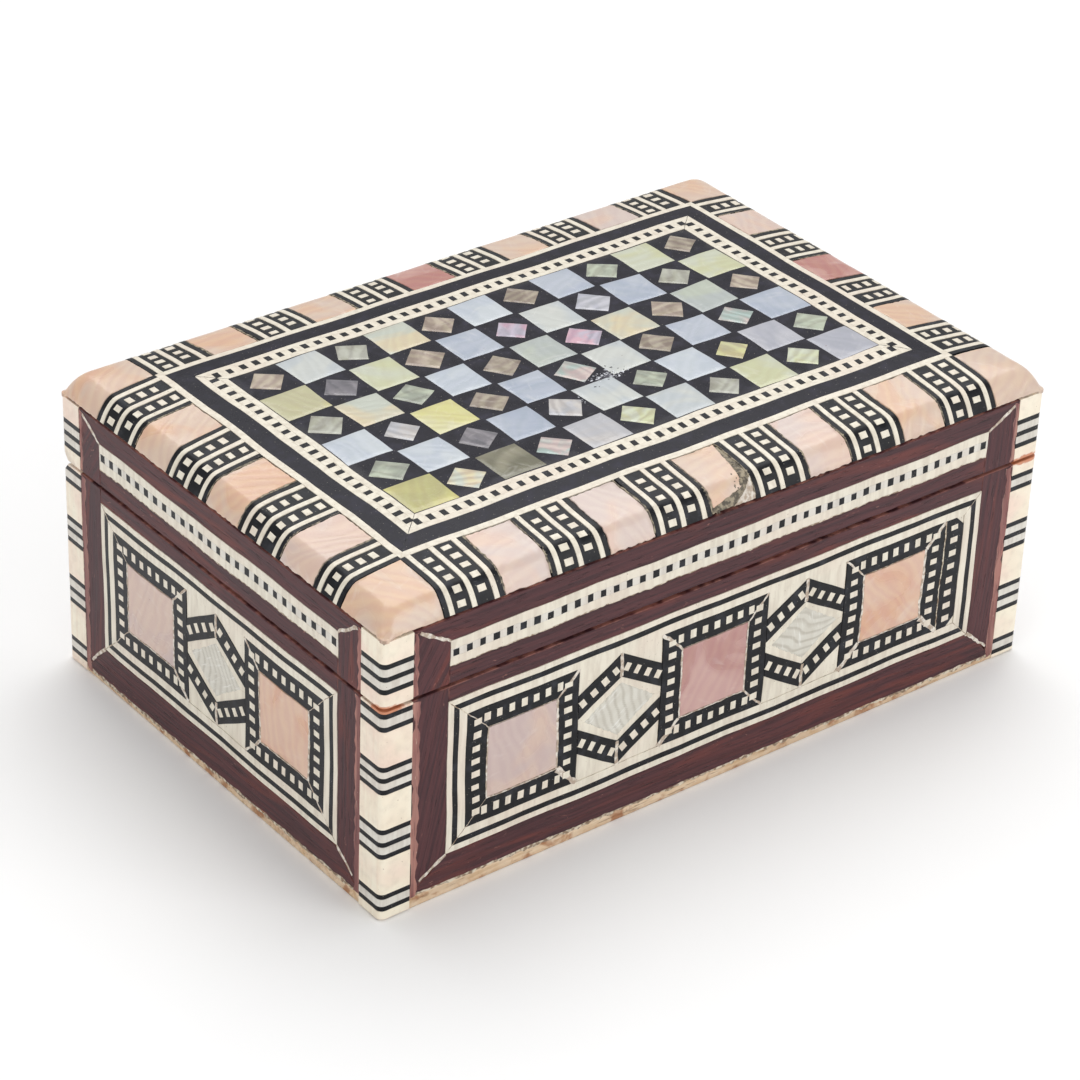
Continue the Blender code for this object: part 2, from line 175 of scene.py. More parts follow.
class Face(Enum):
    """The outer faces that carry inlay."""

    FRONT = "front"
    BACK = "back"
    LEFT = "left"
    RIGHT = "right"
    TOP = "top"
    ROLL = "roll"  # the border of the top, laid out by its length along the rounded surface

    @property
    def half_run(self) -> float:
        """Half the length of the face along its layout."""
        return HALF_WIDTH if self in (Face.LEFT, Face.RIGHT) else HALF_LENGTH

    def place(self, flat: Array) -> Array:
        """Bends a flat layout to this face.

        Args:
            flat: places (along, up, out).

        Returns:
            The places in the box's frame, in millimetres.
        """
        u, v, out = flat.T.copy()
        if self is Face.ROLL:
            for value, half in ((u, HALF_LENGTH), (v, HALF_WIDTH)):
                inset = np.interp(half + BORDER_SLACK - np.abs(value), ROLL_LENGTHS, ROLL_INSETS)
                rolled = np.abs(value) > half - BORDER
                value[rolled] = (np.sign(value) * (half - inset))[rolled]
        if self in (Face.TOP, Face.ROLL):
            room = np.minimum(HALF_LENGTH - np.abs(u), HALF_WIDTH - np.abs(v))
            u, v, out = wander(np.stack([u, v, out], axis=1), room, 0.09).T
            return dome_place(u, v, out)
        room = np.minimum.reduce([self.half_run - POST - np.abs(u), np.abs(v - SEAM), v, RIM - v])
        u, v, out = wander(flat, room, 0.08).T
        spots = {
            Face.FRONT: (u, -HALF_WIDTH - out, v),
            Face.BACK: (-u, HALF_WIDTH + out, v),
            Face.LEFT: (-HALF_LENGTH - out, -u, v),
            Face.RIGHT: (HALF_LENGTH + out, u, v),
        }
        return np.stack(spots[self], axis=1)


def standing(points: Array) -> Array:
    """Leaves points where they are, for pieces laid out in the box's own frame."""
    return points


# Node trees


class Graph:
    """Adds nodes to one node tree and links them."""

    def __init__(self, tree: bpy.types.NodeTree) -> None:
        """Keeps the tree that the nodes go in."""
        self.tree = tree

    def node(self, kind: str, values: dict | None = None, **settings: object) -> bpy.types.Node:
        """Adds a node.

        Args:
            kind: Blender's type name of the node.
            values: what goes into its inputs, by name or number: a socket to link or a plain value.
            **settings: properties of the node itself.

        Returns:
            The node.
        """
        made = self.tree.nodes.new(kind)
        for name, value in settings.items():
            setattr(made, name, value)
        self.feed(made, values or {})
        return made

    def feed(self, node: bpy.types.Node, values: dict) -> None:
        """Links or sets inputs of a node.

        Args:
            node: the node.
            values: what goes into its inputs, by name or number: a socket to link or a plain value.
        """
        for key, value in values.items():
            if isinstance(value, Socket):
                self.tree.links.new(value, node.inputs[key])
            else:
                node.inputs[key].default_value = value

    def calc(self, step: str, a: object, b: object = 0.0, c: object = 0.0, clamp: bool = False) -> Socket:
        """One step of arithmetic on sockets or numbers."""
        return self.node("ShaderNodeMath", {0: a, 1: b, 2: c}, operation=step, use_clamp=clamp).outputs[0]


class Ink(Graph):
    """Lays out the nodes of one material. Patterns are sized in millimetres."""

    def __init__(self, name: str) -> None:
        """Makes the material.

        Args:
            name: name of the material.
        """
        self.material = bpy.data.materials.new(name)
        self.material.use_nodes = True
        super().__init__(self.material.node_tree)
        self.shader = self.tree.nodes["Principled BSDF"]

    def place(self, scale: Colour = (1.0, 1.0, 1.0), shift: Colour = (0.0, 0.0, 0.0)) -> Socket:
        """Places on the object in millimetres, stretched by scale and then shifted."""
        found = self.node("ShaderNodeTexCoord").outputs["Object"]
        sizes = tuple(part / MM for part in scale)
        return self.node("ShaderNodeMapping", {"Vector": found, "Scale": sizes, "Location": shift}).outputs[0]

    def lay(self, scale: Colour = (1.0, 1.0, 1.0)) -> Socket:
        """Places along and across the grain of each piece, in millimetres, stretched by scale."""
        values = {"Vector": self.carried("grain", "Vector"), "Scale": scale}
        return self.node("ShaderNodeMapping", values).outputs[0]

    def carried(self, name: str, output: str = "Color") -> Socket:
        """What the mesh carries under that name."""
        return self.node("ShaderNodeAttribute", attribute_name=name).outputs[output]

    def noise(self, where: object, scale: float, detail: float = 3.0, warp: float = 0.0) -> Socket:
        """Cloudy noise from 0 to 1, with scale in clouds per unit of where."""
        values = {"Vector": where, "Scale": scale, "Detail": detail, "Distortion": warp}
        return self.node("ShaderNodeTexNoise", values).outputs["Fac"]

    def spots(self, where: object, scale: float) -> Socket:
        """Distance to the nearest of scattered points."""
        return self.node("ShaderNodeTexVoronoi", {"Vector": where, "Scale": scale}).outputs["Distance"]

    def bands(self, where: object, scale: float, warp: float, detail: float = 2.0) -> Socket:
        """Wavy bands across the first axis of where."""
        values = {"Vector": where, "Scale": scale, "Distortion": warp, "Detail": detail, "Detail Scale": 1.4}
        return self.node("ShaderNodeTexWave", values).outputs["Fac"]

    def between(self, value: object, low: float, high: float) -> Socket:
        """0 below low, 1 above high, and smooth between; low may be the larger one."""
        rises = low < high
        start, end = sorted((low, high))
        values = {"Value": value, "From Min": start, "From Max": end, "To Min": 1 - rises, "To Max": rises}
        return self.node("ShaderNodeMapRange", values, interpolation_type="SMOOTHSTEP").outputs["Result"]

    def blend(self, factor: object, a: object, b: object) -> Socket:
        """Mixes two colours, each a socket or a linear colour."""
        first, second = [(*c, 1.0) if isinstance(c, tuple) else c for c in (a, b)]
        return self.node("ShaderNodeMix", {0: factor, 6: first, 7: second}, data_type="RGBA").outputs[2]

    def rubbed(self, where: object, scale: float, detail: float, low: float, high: float) -> Socket:
        """Worn edges, broken up by noise."""
        broken = self.between(self.noise(where, scale, detail), low, high)
        return self.calc("MULTIPLY", self.carried("edge", "Fac"), broken)

    def speck(self, colour: object, factor: object, dirt: Colour, amount: float) -> Socket:
        """The colour with dirt wherever factor is high."""
        return self.blend(self.calc("MULTIPLY", factor, amount, clamp=True), colour, dirt)

    def close(
        self, colour: object, roughness: object, height: object, depth: float, **constants: float
    ) -> None:
        """Links the shader.

        Args:
            colour: base colour.
            roughness: roughness, a socket or a number.
            height: height pattern from 0 to 1 for the bump.
            depth: how deep that pattern is, in millimetres.
            **constants: plain numbers for the shader's other inputs, with _ for a space.
        """
        bump = self.node("ShaderNodeBump", {"Height": height, "Strength": 1.0, "Distance": depth * MM})
        plain = {name.replace("_", " "): value for name, value in constants.items()}
        surface = {"Base Color": colour, "Roughness": roughness, "Normal": bump.outputs[0]}
        self.feed(self.shader, {**surface, **plain})


# Finishes


@dataclass(frozen=True)
class Finish:
    """A finish that pieces can be given.

    Attributes:
        name: name of its material.
        slot: the record's material slot it stands for; not used.
    """

    name: str
    slot: str

    def material(self) -> bpy.types.Material:
        """The finish's material, made the first time it is asked for."""
        found = bpy.data.materials.get(self.name)
        if found:
            return found
        ink = Ink(self.name)
        self.dress(ink)
        return ink.material

    def dress(self, ink: Ink) -> None:
        """Fills the material; each kind of finish has its own way."""
        raise NotImplementedError


@dataclass(frozen=True)
class Stain:
    """A patch of old glue.

    Attributes:
        centre: middle of the patch.
        reach: its size along each axis.
    """

    centre: Colour
    reach: Colour


@dataclass(frozen=True)
class Bone(Finish):
    """Cut bone, with fine streaks, pores and old dirt.

    Attributes:
        base: main colour.
        shade: colour of the streaks.
        tinge: colour of broad patches.
        tinge_amount: how strong those are.
        streak: stretches the streaks along each axis.
        stains: patches of old glue.
    """

    base: Colour
    shade: Colour
    tinge: Colour
    tinge_amount: float = 0.3
    streak: Colour = (0.5, 0.5, 0.08)
    stains: tuple[Stain, ...] = ()

    def dress(self, ink: Ink) -> None:
        """Streaks and patches of colour, then pores, dirt at the edges, and glue stains.

        Args:
            ink: the nodes of its material.
        """
        where = ink.place()
        streaks = ink.noise(ink.place(self.streak), 2.2, 4.0, 0.4)
        colour = ink.blend(ink.between(streaks, 0.35, 0.7), self.base, self.shade)
        patches = ink.between(ink.noise(where, 0.11, 2.0), 0.42, 0.7)
        colour = ink.speck(colour, patches, self.tinge, self.tinge_amount)
        pores = ink.between(ink.noise(where, 3.1, 2.0), 0.70, 0.78)
        colour = ink.speck(colour, pores, dye(120, 84, 58), 0.75)
        colour = ink.speck(colour, ink.rubbed(where, 0.7, 4.0, 0.4, 0.75), dye(92, 72, 58), 0.55)
        for stain in self.stains:
            scale = tuple(1 / reach for reach in stain.reach)
            shift = tuple(-c / reach for c, reach in zip(stain.centre, stain.reach))
            place = ink.place(scale, shift)
            near = ink.node("ShaderNodeVectorMath", {0: place}, operation="LENGTH").outputs["Value"]
            ragged = ink.calc("ADD", near, ink.calc("MULTIPLY", ink.noise(where, 0.9, 4.0), 1.1))
            colour = ink.speck(colour, ink.between(ragged, 1.55, 1.2), dye(192, 104, 52), 0.85)
        roughness = ink.calc("MULTIPLY_ADD", streaks, 0.2, 0.24)
        ink.close(colour, roughness, ink.calc("SUBTRACT", streaks, pores), 0.02)


@dataclass(frozen=True)
class Ebony(Finish):
    """Black strip and ground, with dust in its scratches.

    Attributes:
        base: main colour.
        worn: colour of dulled patches.
        gloss: usual roughness.
    """

    base: Colour = dye(17, 18, 22)
    worn: Colour = dye(48, 50, 57)
    gloss: float = 0.3

    def dress(self, ink: Ink) -> None:
        """Soft blotches, light scratches and grains of dust.

        Args:
            ink: the nodes of its material.
        """
        where = ink.place()
        blotches = ink.noise(where, 0.5, 5.0)
        colour = ink.blend(ink.between(blotches, 0.45, 0.8), self.base, self.worn)
        scratches = ink.between(ink.noise(ink.place((0.5, 3.0, 3.0)), 2.4, 3.0, 0.6), 0.66, 0.76)
        colour = ink.speck(colour, scratches, dye(120, 118, 118), 0.4)
        dust = ink.between(ink.spots(where, 1.3), 0.1, 0.05)
        colour = ink.speck(colour, dust, dye(170, 164, 152), 0.6)
        roughness = ink.calc("MULTIPLY_ADD", blotches, 0.3, self.gloss - 0.1)
        ink.close(colour, roughness, blotches, 0.02, Specular_IOR_Level=0.22)


@dataclass(frozen=True)
class Nacre(Finish):
    """Mother-of-pearl: two tints that each piece carries, in clouds and fine growth layers.

    Attributes:
        fire: how far the hue changes from layer to layer.
        cloud: clouds per millimetre.
        bite: how much darker the layers get.
        rough: least roughness.
        strength: share of the tints' colour that is kept.
    """

    fire: float = 0.03
    cloud: float = 0.16
    bite: float = 0.35
    rough: float = 0.14
    strength: float = 0.8

    def dress(self, ink: Ink) -> None:
        """Clouds between the piece's two tints, then hue changes, layers, painted highlight streaks, flaws
        and dirt.

        Args:
            ink: the nodes of its material.
        """
        lay = ink.lay()
        clouds = ink.noise(lay, self.cloud, 2.0, 0.9)
        colour = ink.blend(ink.between(clouds, 0.36, 0.62), ink.carried("tint"), ink.carried("glow"))
        layers = ink.bands(ink.lay((1.0, 0.45, 1.0)), 0.16, 11.0, 4.0)
        hue = ink.calc("MULTIPLY_ADD", ink.calc("SUBTRACT", layers, 0.5), self.fire, 0.5)
        value = ink.calc("MULTIPLY_ADD", layers, self.bite, 0.93 - self.bite * 0.5)
        values = {"Color": colour, "Hue": hue, "Value": value, "Saturation": self.strength}
        colour = ink.node("ShaderNodeHueSaturation", values).outputs[0]
        # Whitish streaks along the grain, painted in as a highlight on the shell.
        painted_highlight = ink.between(ink.noise(ink.lay((0.5, 1.4, 1.0)), 0.5, 4.0, 0.8), 0.56, 0.8)
        colour = ink.speck(colour, painted_highlight, dye(236, 232, 226), 0.18)
        flaws = ink.between(ink.noise(lay, 1.1, 4.0), 0.74, 0.8)
        colour = ink.speck(colour, flaws, dye(120, 92, 74), 0.6)
        colour = ink.speck(colour, ink.rubbed(lay, 0.8, 3.0, 0.3, 0.7), dye(96, 78, 66), 0.5)
        roughness = ink.calc("MULTIPLY_ADD", clouds, 0.16, self.rough)
        height = ink.calc("MULTIPLY_ADD", layers, 0.4, ink.noise(lay, 0.7, 3.0))
        ink.close(colour, roughness, height, 0.05, Coat_Weight=0.2, Coat_Roughness=0.1)


@dataclass(frozen=True)
class RibbedShell(Finish):
    """Unpolished silver-grey shell, dark in its furrows."""

    def dress(self, ink: Ink) -> None:
        """Silver ridges, grey-brown furrows and bright glints.

        Args:
            ink: the nodes of its material.
        """
        lay = ink.lay()
        clouds = ink.noise(lay, 0.5, 3.0, 0.8)
        colour = ink.blend(clouds, dye(224, 222, 212), dye(198, 192, 178))
        furrows = ink.between(ink.carried("hollow", "Fac"), 0.35, 1.0)
        colour = ink.speck(colour, furrows, dye(158, 149, 132), 0.5)
        glint = ink.between(ink.noise(ink.lay((0.3, 2.0, 1.0)), 1.2, 3.0), 0.55, 0.75)
        colour = ink.speck(colour, glint, dye(246, 246, 242), 0.5)
        roughness = ink.calc("MULTIPLY_ADD", clouds, 0.25, 0.2)
        ink.close(colour, roughness, ink.noise(ink.lay((0.6, 3.0, 1.0)), 1.5, 4.0), 0.05, Coat_Weight=0.2)


@dataclass(frozen=True)
class Timber(Finish):
    """Wood whose grain follows each piece, or one axis of the box.

    Attributes:
        base: main colour.
        dark: colour of the dark grain.
        warm: colour of the reddish patches.
        pore: colour of the open pores.
        wear: colour of worn edges.
        wear_amount: how much of the edges is worn.
        fineness: lines of grain per millimetre.
        gloss: least roughness.
        axis: stretches the pattern along an axis of the box; none means along each piece's own grain.
        stain: colour of water and glue marks.
        stain_amount: how strong those marks are.
        stain_size: how many of them there are in a millimetre.
    """

    base: Colour
    dark: Colour
    warm: Colour
    pore: Colour
    wear: Colour
    wear_amount: float = 0.5
    fineness: float = 1.0
    gloss: float = 0.34
    axis: Colour | None = None
    stain: Colour = (0.3, 0.12, 0.03)
    stain_amount: float = 0.0
    stain_size: float = 0.16

    def grain(self, ink: Ink, along: float, across: float) -> Socket:
        """Places stretched along the grain, by along and across it by across."""
        if self.axis is None:
            return ink.lay((along, across, 1.0))
        return ink.place(tuple(along if part else across for part in self.axis))

    def dress(self, ink: Ink) -> None:
        """Broad figure, fine straight grain, pores, warm patches, scratches and worn edges.

        Args:
            ink: the nodes of its material.
        """
        lines = ink.noise(self.grain(ink, 0.05, 1.3 * self.fineness), 1.0, 5.0, 0.5)
        figure = ink.noise(self.grain(ink, 0.035, 0.3), 1.0, 2.0, 1.2)
        colour = ink.blend(ink.between(lines, 0.34, 0.66), self.dark, self.base)
        colour = ink.speck(colour, ink.between(figure, 0.5, 0.75), self.warm, 0.7)
        pores = ink.between(ink.noise(self.grain(ink, 0.28, 4.5), 1.0, 2.0), 0.62, 0.7)
        colour = ink.speck(colour, pores, self.pore, 0.7)
        where = ink.place()
        scratches = ink.between(ink.noise(self.grain(ink, 0.6, 2.0), 0.8, 5.0, 1.5), 0.68, 0.74)
        colour = ink.speck(colour, scratches, self.wear, 0.5)
        colour = ink.speck(colour, ink.rubbed(where, 0.45, 5.0, 0.38, 0.62), self.wear, self.wear_amount)
        if self.stain_amount:
            marks = ink.between(ink.noise(where, self.stain_size, 5.0, 0.5), 0.52, 0.66)
            colour = ink.speck(colour, marks, self.stain, self.stain_amount)
        roughness = ink.calc("MULTIPLY_ADD", lines, 0.25, self.gloss)
        ink.close(colour, roughness, ink.calc("SUBTRACT", lines, pores), 0.06, Specular_IOR_Level=0.3)


@dataclass(frozen=True)
class Putty(Finish):
    """Filler and old glue pressed into joints.

    Attributes:
        base: main colour.
        dirt: colour of its dirt.
    """

    base: Colour = dye(222, 211, 190)
    dirt: Colour = dye(140, 118, 96)

    def dress(self, ink: Ink) -> None:
        """Chalky, grainy filler with brown dirt.

        Args:
            ink: the nodes of its material.
        """
        where = ink.place()
        lumps = ink.noise(where, 1.4, 5.0)
        colour = ink.blend(ink.between(lumps, 0.4, 0.62), self.dirt, self.base)
        colour = ink.speck(colour, ink.between(ink.noise(where, 0.35, 3.0), 0.55, 0.75), self.dirt, 0.5)
        ink.close(colour, 0.62, lumps, 0.12)


@dataclass(frozen=True)
class Velvet(Finish):
    """Short red pile, rubbed lighter in places.

    Attributes:
        base: main colour.
        rubbed: colour where the pile lies flat.
    """

    base: Colour = dye(104, 14, 26)
    rubbed: Colour = dye(124, 26, 36)

    def dress(self, ink: Ink) -> None:
        """Pile that lies different ways in patches, with fine tufts.

        Args:
            ink: the nodes of its material.
        """
        where = ink.place()
        tufts = ink.noise(where, 5.0, 2.0)
        patches = ink.between(ink.noise(where, 0.05, 3.0, 0.4), 0.35, 0.8)
        colour = ink.blend(patches, self.base, self.rubbed)
        colour = ink.speck(colour, ink.between(tufts, 0.5, 0.3), dye(52, 6, 12), 0.6)
        sheen = {"Sheen_Weight": 0.12, "Sheen_Roughness": 0.5, "Specular_IOR_Level": 0.1}
        ink.close(colour, 0.95, tufts, 0.15, **sheen)


@dataclass(frozen=True)
class Brass(Finish):
    """Old brass, dull brown in patches.

    Attributes:
        base: clean colour.
        tarnish: dull colour.
    """

    base: Colour = dye(204, 168, 92)
    tarnish: Colour = dye(128, 92, 48)

    def dress(self, ink: Ink) -> None:
        """Tarnish, rubbing marks and small pits.

        Args:
            ink: the nodes of its material.
        """
        where = ink.place()
        patches = ink.noise(where, 0.6, 5.0, 0.6)
        colour = ink.blend(ink.between(patches, 0.4, 0.65), self.base, self.tarnish)
        pits = ink.between(ink.noise(where, 4.0, 2.0), 0.64, 0.74)
        colour = ink.speck(colour, pits, dye(60, 42, 24), 0.6)
        roughness = ink.calc("MULTIPLY_ADD", patches, 0.4, 0.16)
        ink.close(colour, roughness, ink.calc("SUBTRACT", patches, pits), 0.03, Metallic=1.0)


@dataclass(frozen=True)
class Paper(Finish):
    """The plain pale floor."""

    def dress(self, ink: Ink) -> None:
        """Almost white, with a very faint mottle."""
        mottle = ink.noise(ink.place(), 0.02, 2.0)
        ink.close(ink.blend(mottle, (0.93, 0.93, 0.93), (0.95, 0.95, 0.95)), 0.9, mottle, 0.01)


GLUE = Stain((-HALF_LENGTH, -HALF_WIDTH, SEAM - 0.2), (4.6, 3.8, 0.95))
GLUE_FAR = Stain((HALF_LENGTH - 2, -HALF_WIDTH, SEAM), (4.5, 4.0, 0.9))

BONE = Bone("bone_inlay", "bone", dye(232, 225, 208), dye(214, 205, 188), dye(226, 205, 190))
CREAM = Bone("bone_posts", "bone", dye(246, 237, 216), dye(240, 226, 204), dye(238, 206, 192), 0.6,
             (0.06, 0.5, 0.06), (GLUE, GLUE_FAR))
GREY_BONE = Bone("bone_grey", "bone", dye(222, 218, 208), dye(206, 200, 190), dye(220, 204, 192))
BLACK = Ebony("black_strip", "dark_resin")
RESIN = Ebony("resin_ground", "dark_resin", dye(20, 18, 30), dye(38, 36, 52), 0.26)
PEARL = Nacre("pink_pearl", "pearl", 0.01, 0.1, 0.05, 0.2, 0.92)
SHELL = Nacre("shell_squares", "shell", 0.01, 0.12, 0.05, 0.17, 0.78)
FIRE_SHELL = Nacre("shell_turned", "shell", 0.03, 0.28, 0.26, 0.14, 0.8)
RIBBED = RibbedShell("ribbed_shell", "shell")
MAHOGANY = Timber("mahogany_veneer", "mahogany", dye(86, 48, 51), dye(62, 34, 39), dye(112, 54, 47),
                  dye(44, 22, 25), dye(170, 116, 104), 0.85, 1.5)
RAW_WOOD = Timber(
    "raw_wood", "carcass_wood", dye(226, 200, 168), dye(200, 168, 132), dye(222, 190, 150), dye(140, 100, 66),
    dye(240, 226, 206), 0.7, 0.8, 0.5, (1.0, 0.0, 0.0), dye(158, 98, 56), 0.8, 0.3,
)
WOOD_ALONG = Timber(
    "carcass_wood_long", "carcass_wood", dye(206, 170, 126), dye(178, 136, 94), dye(198, 150, 104),
    dye(120, 84, 54), dye(220, 190, 150), 0.5, 0.7, 0.5, (1.0, 0.0, 0.0),
)
WOOD_ACROSS = replace(WOOD_ALONG, name="carcass_wood_short", axis=(0.0, 1.0, 0.0))
FILLER = Putty("filler", "bone")
CHALK = Putty("white_filler", "bone", dye(226, 219, 208), dye(176, 158, 140))
WORN_WOOD = Timber("worn_veneer_edge", "mahogany", dye(168, 116, 106), dye(122, 76, 74), dye(186, 142, 128),
                   dye(96, 56, 54), dye(226, 200, 184), 0.8, 0.8)
MASTIC = Putty("dark_mastic", "dark_resin", dye(52, 48, 46), dye(28, 26, 28))
# Crumbs on the field whose near-white colour is a painted highlight; the dark mottle is the resin's own
# colour.
PAINTED_GLINT_GRIT = Putty("broken_resin", "dark_resin", dye(222, 224, 230), dye(70, 68, 78))
OLD_GLUE = Putty("dirty_glue", "dark_resin", dye(160, 148, 126), dye(84, 77, 66))
VELVET = Velvet("red_velvet", "velvet")
OLD_BRASS = Brass("old_brass", "brass")
PAPER = Paper("pale_floor", "floor")


class Tone(Enum):
    """Tints of shell and pearl: the main one and the one it shades into, as display colours."""

    SILVER = (200, 208, 214), (184, 194, 207)
    WHITE = (204, 207, 200), (188, 196, 200)
    GREY_BLUE = (162, 174, 194), (180, 188, 202)
    CREAM = (214, 196, 152), (194, 200, 184)
    PALE_GREEN = (200, 201, 150), (200, 204, 178)
    STRAW = (202, 193, 122), (190, 184, 134)
    YELLOW = (214, 206, 112), (214, 208, 146)
    GOLD = (206, 196, 90), (182, 175, 94)
    OLIVE = (158, 156, 136), (180, 180, 164)
    DARK_OLIVE = (112, 108, 80), (144, 138, 108)
    GREEN = (150, 156, 138), (178, 186, 160)
    MINT = (184, 193, 174), (176, 184, 181)
    TAN = (158, 138, 116), (184, 164, 142)
    BROWN = (142, 124, 104), (170, 154, 132)
    ROSE = (206, 156, 176), (182, 172, 190)
    LILAC = (168, 170, 183), (186, 186, 195)
    PINK_WHITE = (196, 189, 184), (184, 184, 190)
    RAINBOW = (164, 186, 178), (200, 176, 170)
    SMOKE = (112, 108, 116), (134, 128, 134)
    BLUSH = (222, 190, 170), (214, 194, 184)
    PEACH = (222, 182, 150), (216, 190, 170)
    APRICOT = (222, 176, 142), (218, 190, 168)
    SALMON = (220, 166, 134), (224, 184, 158)
    LAVENDER_PINK = (214, 184, 168), (204, 180, 174)
    ROSEWOOD = (186, 132, 124), (204, 160, 152)
    RED_SHELL = (184, 118, 106), (202, 150, 138)

    @property
    def tints(self) -> dict[str, Colour]:
        """Both tints, by the names that a mesh carries them under."""
        return {"tint": dye(*self.value[0]), "glow": dye(*self.value[1])}


FIELD_KEY = dict(zip("SWGCEAYDOXNMTBRLPIK", Tone))  # letters of the field's chart, in the order of the tints


# Pieces


def rect(u0: float, u1: float, v0: float, v1: float) -> list[Spot]:
    """The corners of a rectangle, anticlockwise."""
    return [(u0, v0), (u1, v0), (u1, v1), (u0, v1)]


def mitred(outer: list[Spot], inner: list[Spot]) -> list[list[Spot]]:
    """Four strips between two rectangles, each anticlockwise: below, right, above and left."""
    return [[outer[i], outer[(i + 1) % 4], inner[(i + 1) % 4], inner[i]] for i in range(4)]


def shrunk(corners: list[Spot], by: float) -> list[Spot]:
    """A rectangle made smaller by the same amount all round."""
    (u0, v0), (u1, v1) = corners[0], corners[2]
    return rect(u0 + by, u1 - by, v0 + by, v1 - by)


def ticks(length: float, chamfer: float, step: float) -> Array:
    """Shares of a length where a piece's grid lines lie, with one at each chamfer."""
    edge = min(chamfer / max(length, 1e-6), 0.3)
    count = max(1, round(length / step))
    return np.array([0.0, *np.linspace(edge, 1 - edge, count + 1), 1.0])


def solid_under(top: Array, depth: float) -> tuple[Array, Faces]:
    """A closed solid under a grid of points.

    Args:
        top: rows by columns of points, anticlockwise seen from outside.
        depth: thickness of the solid.

    Returns:
        The points and the faces.
    """
    rows, cols = top.shape[:2]
    index = np.arange(rows * cols).reshape(rows, cols)
    quads = np.stack([index[:-1, :-1], index[:-1, 1:], index[1:, 1:], index[1:, :-1]], axis=-1).reshape(-1, 4)
    ring = np.concatenate([index[0, :-1], index[:-1, -1], index[-1, :0:-1], index[:0:-1, 0]])
    count, start = len(ring), rows * cols
    flat = top.reshape(-1, 3)
    low = flat[ring] - [0.0, 0.0, depth]
    after = np.roll(np.arange(count), -1)
    walls = np.stack([start + np.arange(count), start + after, ring[after], ring], axis=-1)
    bottom = tuple(range(start + count - 1, start - 1, -1))
    faces = [tuple(face) for face in (*quads.tolist(), *walls.tolist())] + [bottom]
    return np.concatenate([flat, low]), faces


@dataclass(frozen=True)
class Cut:
    """How a piece is cut.

    Attributes:
        depth: its thickness.
        chamfer: the worn edge round its face.
        step: size of the grid of its face.
        lift: how far its face stands out, below 0 for inwards.
        rag: how uneven its outline is.
    """

    depth: float = 0.5
    chamfer: float = 0.06
    step: float = 2.0
    lift: float = 0.0
    rag: float = 0.0


@dataclass(frozen=True)
class Look:
    """What a piece's finish varies by.

    Attributes:
        tone: the tints of shell or pearl.
        turn: direction of the grain from the piece's first edge, in degrees.
        relief: height pattern on the face, from places to depths below the face.
    """

    tone: Tone = Tone.WHITE
    turn: float = 0.0
    relief: Relief | None = None


PLAIN = Look()


@dataclass
class Pieces:
    """Pieces of one finish, gathered into one mesh, with what their finish reads.

    Attributes:
        points: places of each solid.
        faces: all faces.
        carried: values of each solid's points, by name.
        count: number of points.
    """

    points: list[Array] = field(default_factory=list)
    faces: Faces = field(default_factory=list)
    carried: dict[str, list[Array]] = field(default_factory=dict)
    count: int = 0

    def add(self, points: Array, faces: Faces, carried: dict[str, object]) -> None:
        """Adds a solid.

        Args:
            points: its points.
            faces: its faces.
            carried: values for each of its points: tint, glow, grain, edge and hollow.
        """
        start = self.count
        self.points.append(points)
        self.faces += [tuple(index + start for index in face) for face in faces]
        blank = {"tint": (1, 1, 1), "glow": (1, 1, 1), "grain": None, "edge": 0.0, "hollow": 0.0}
        for name, value in blank.items():
            given = carried.get(name, points if value is None else value)
            width = () if name in ("edge", "hollow") else (3,)
            self.carried.setdefault(name, []).append(np.broadcast_to(given, (len(points), *width)))
        self.count += len(points)

    def mesh(self, name: str, place: Place) -> Mesh:
        """The gathered pieces as one mesh.

        Args:
            name: name of the mesh.
            place: bends the flat layout to its place, in millimetres.

        Returns:
            The mesh, in metres.
        """
        made = bpy.data.meshes.new(name)
        made.from_pydata((place(np.concatenate(self.points)) * MM).tolist(), [], self.faces)
        for key, values in self.carried.items():
            store(made, key, np.concatenate(values))
        made.shade_smooth()
        made.set_sharp_from_angle(angle=math.radians(32))
        return made


def trim_back(mesh: Mesh, up: int) -> None:
    """Cuts a mesh along the back chamfer of the base or of the lid, and closes the cut.

    Args:
        mesh: the mesh to cut.
        up: 1 for the lid, whose chamfer faces down, and -1 for the base.
    """
    shape = bmesh.new()
    shape.from_mesh(mesh)
    everything = [*shape.verts, *shape.edges, *shape.faces]
    away = (0.0, math.sin(RELIEF_ANGLE), -up * math.cos(RELIEF_ANGLE))
    apex = (0.0, RELIEF_APEX[0] * MM, RELIEF_APEX[1] * MM)
    bmesh.ops.bisect_plane(shape, geom=everything, dist=1e-7, plane_co=apex, plane_no=away, clear_outer=True)
    bmesh.ops.holes_fill(shape, edges=[edge for edge in shape.edges if edge.is_boundary], sides=0)
    shape.to_mesh(mesh)
    shape.free()


def put(name: str, data: bpy.types.ID) -> bpy.types.Object:
    """Puts an object that holds the data in the scene."""
    made = bpy.data.objects.new(name, data)
    bpy.context.scene.collection.objects.link(made)
    return made


def store(mesh: Mesh, name: str, values: Array) -> None:
    """Stores a number or a vector for each point of a mesh."""
    kind, slot = ("FLOAT", "value") if values.ndim == 1 else ("FLOAT_VECTOR", "vector")
    mesh.attributes.new(name, kind, "POINT").data.foreach_set(slot, values.astype(np.float32).ravel())


def stored(mesh: Mesh, name: str) -> Array:
    """What store() put on each point of a mesh."""
    layer = mesh.attributes[name]
    width, slot = ((), "value") if layer.data_type == "FLOAT" else ((3,), "vector")
    values = np.zeros((len(mesh.vertices), *width), np.float32).ravel()
    layer.data.foreach_get(slot, values)
    return values.reshape(-1, *width)


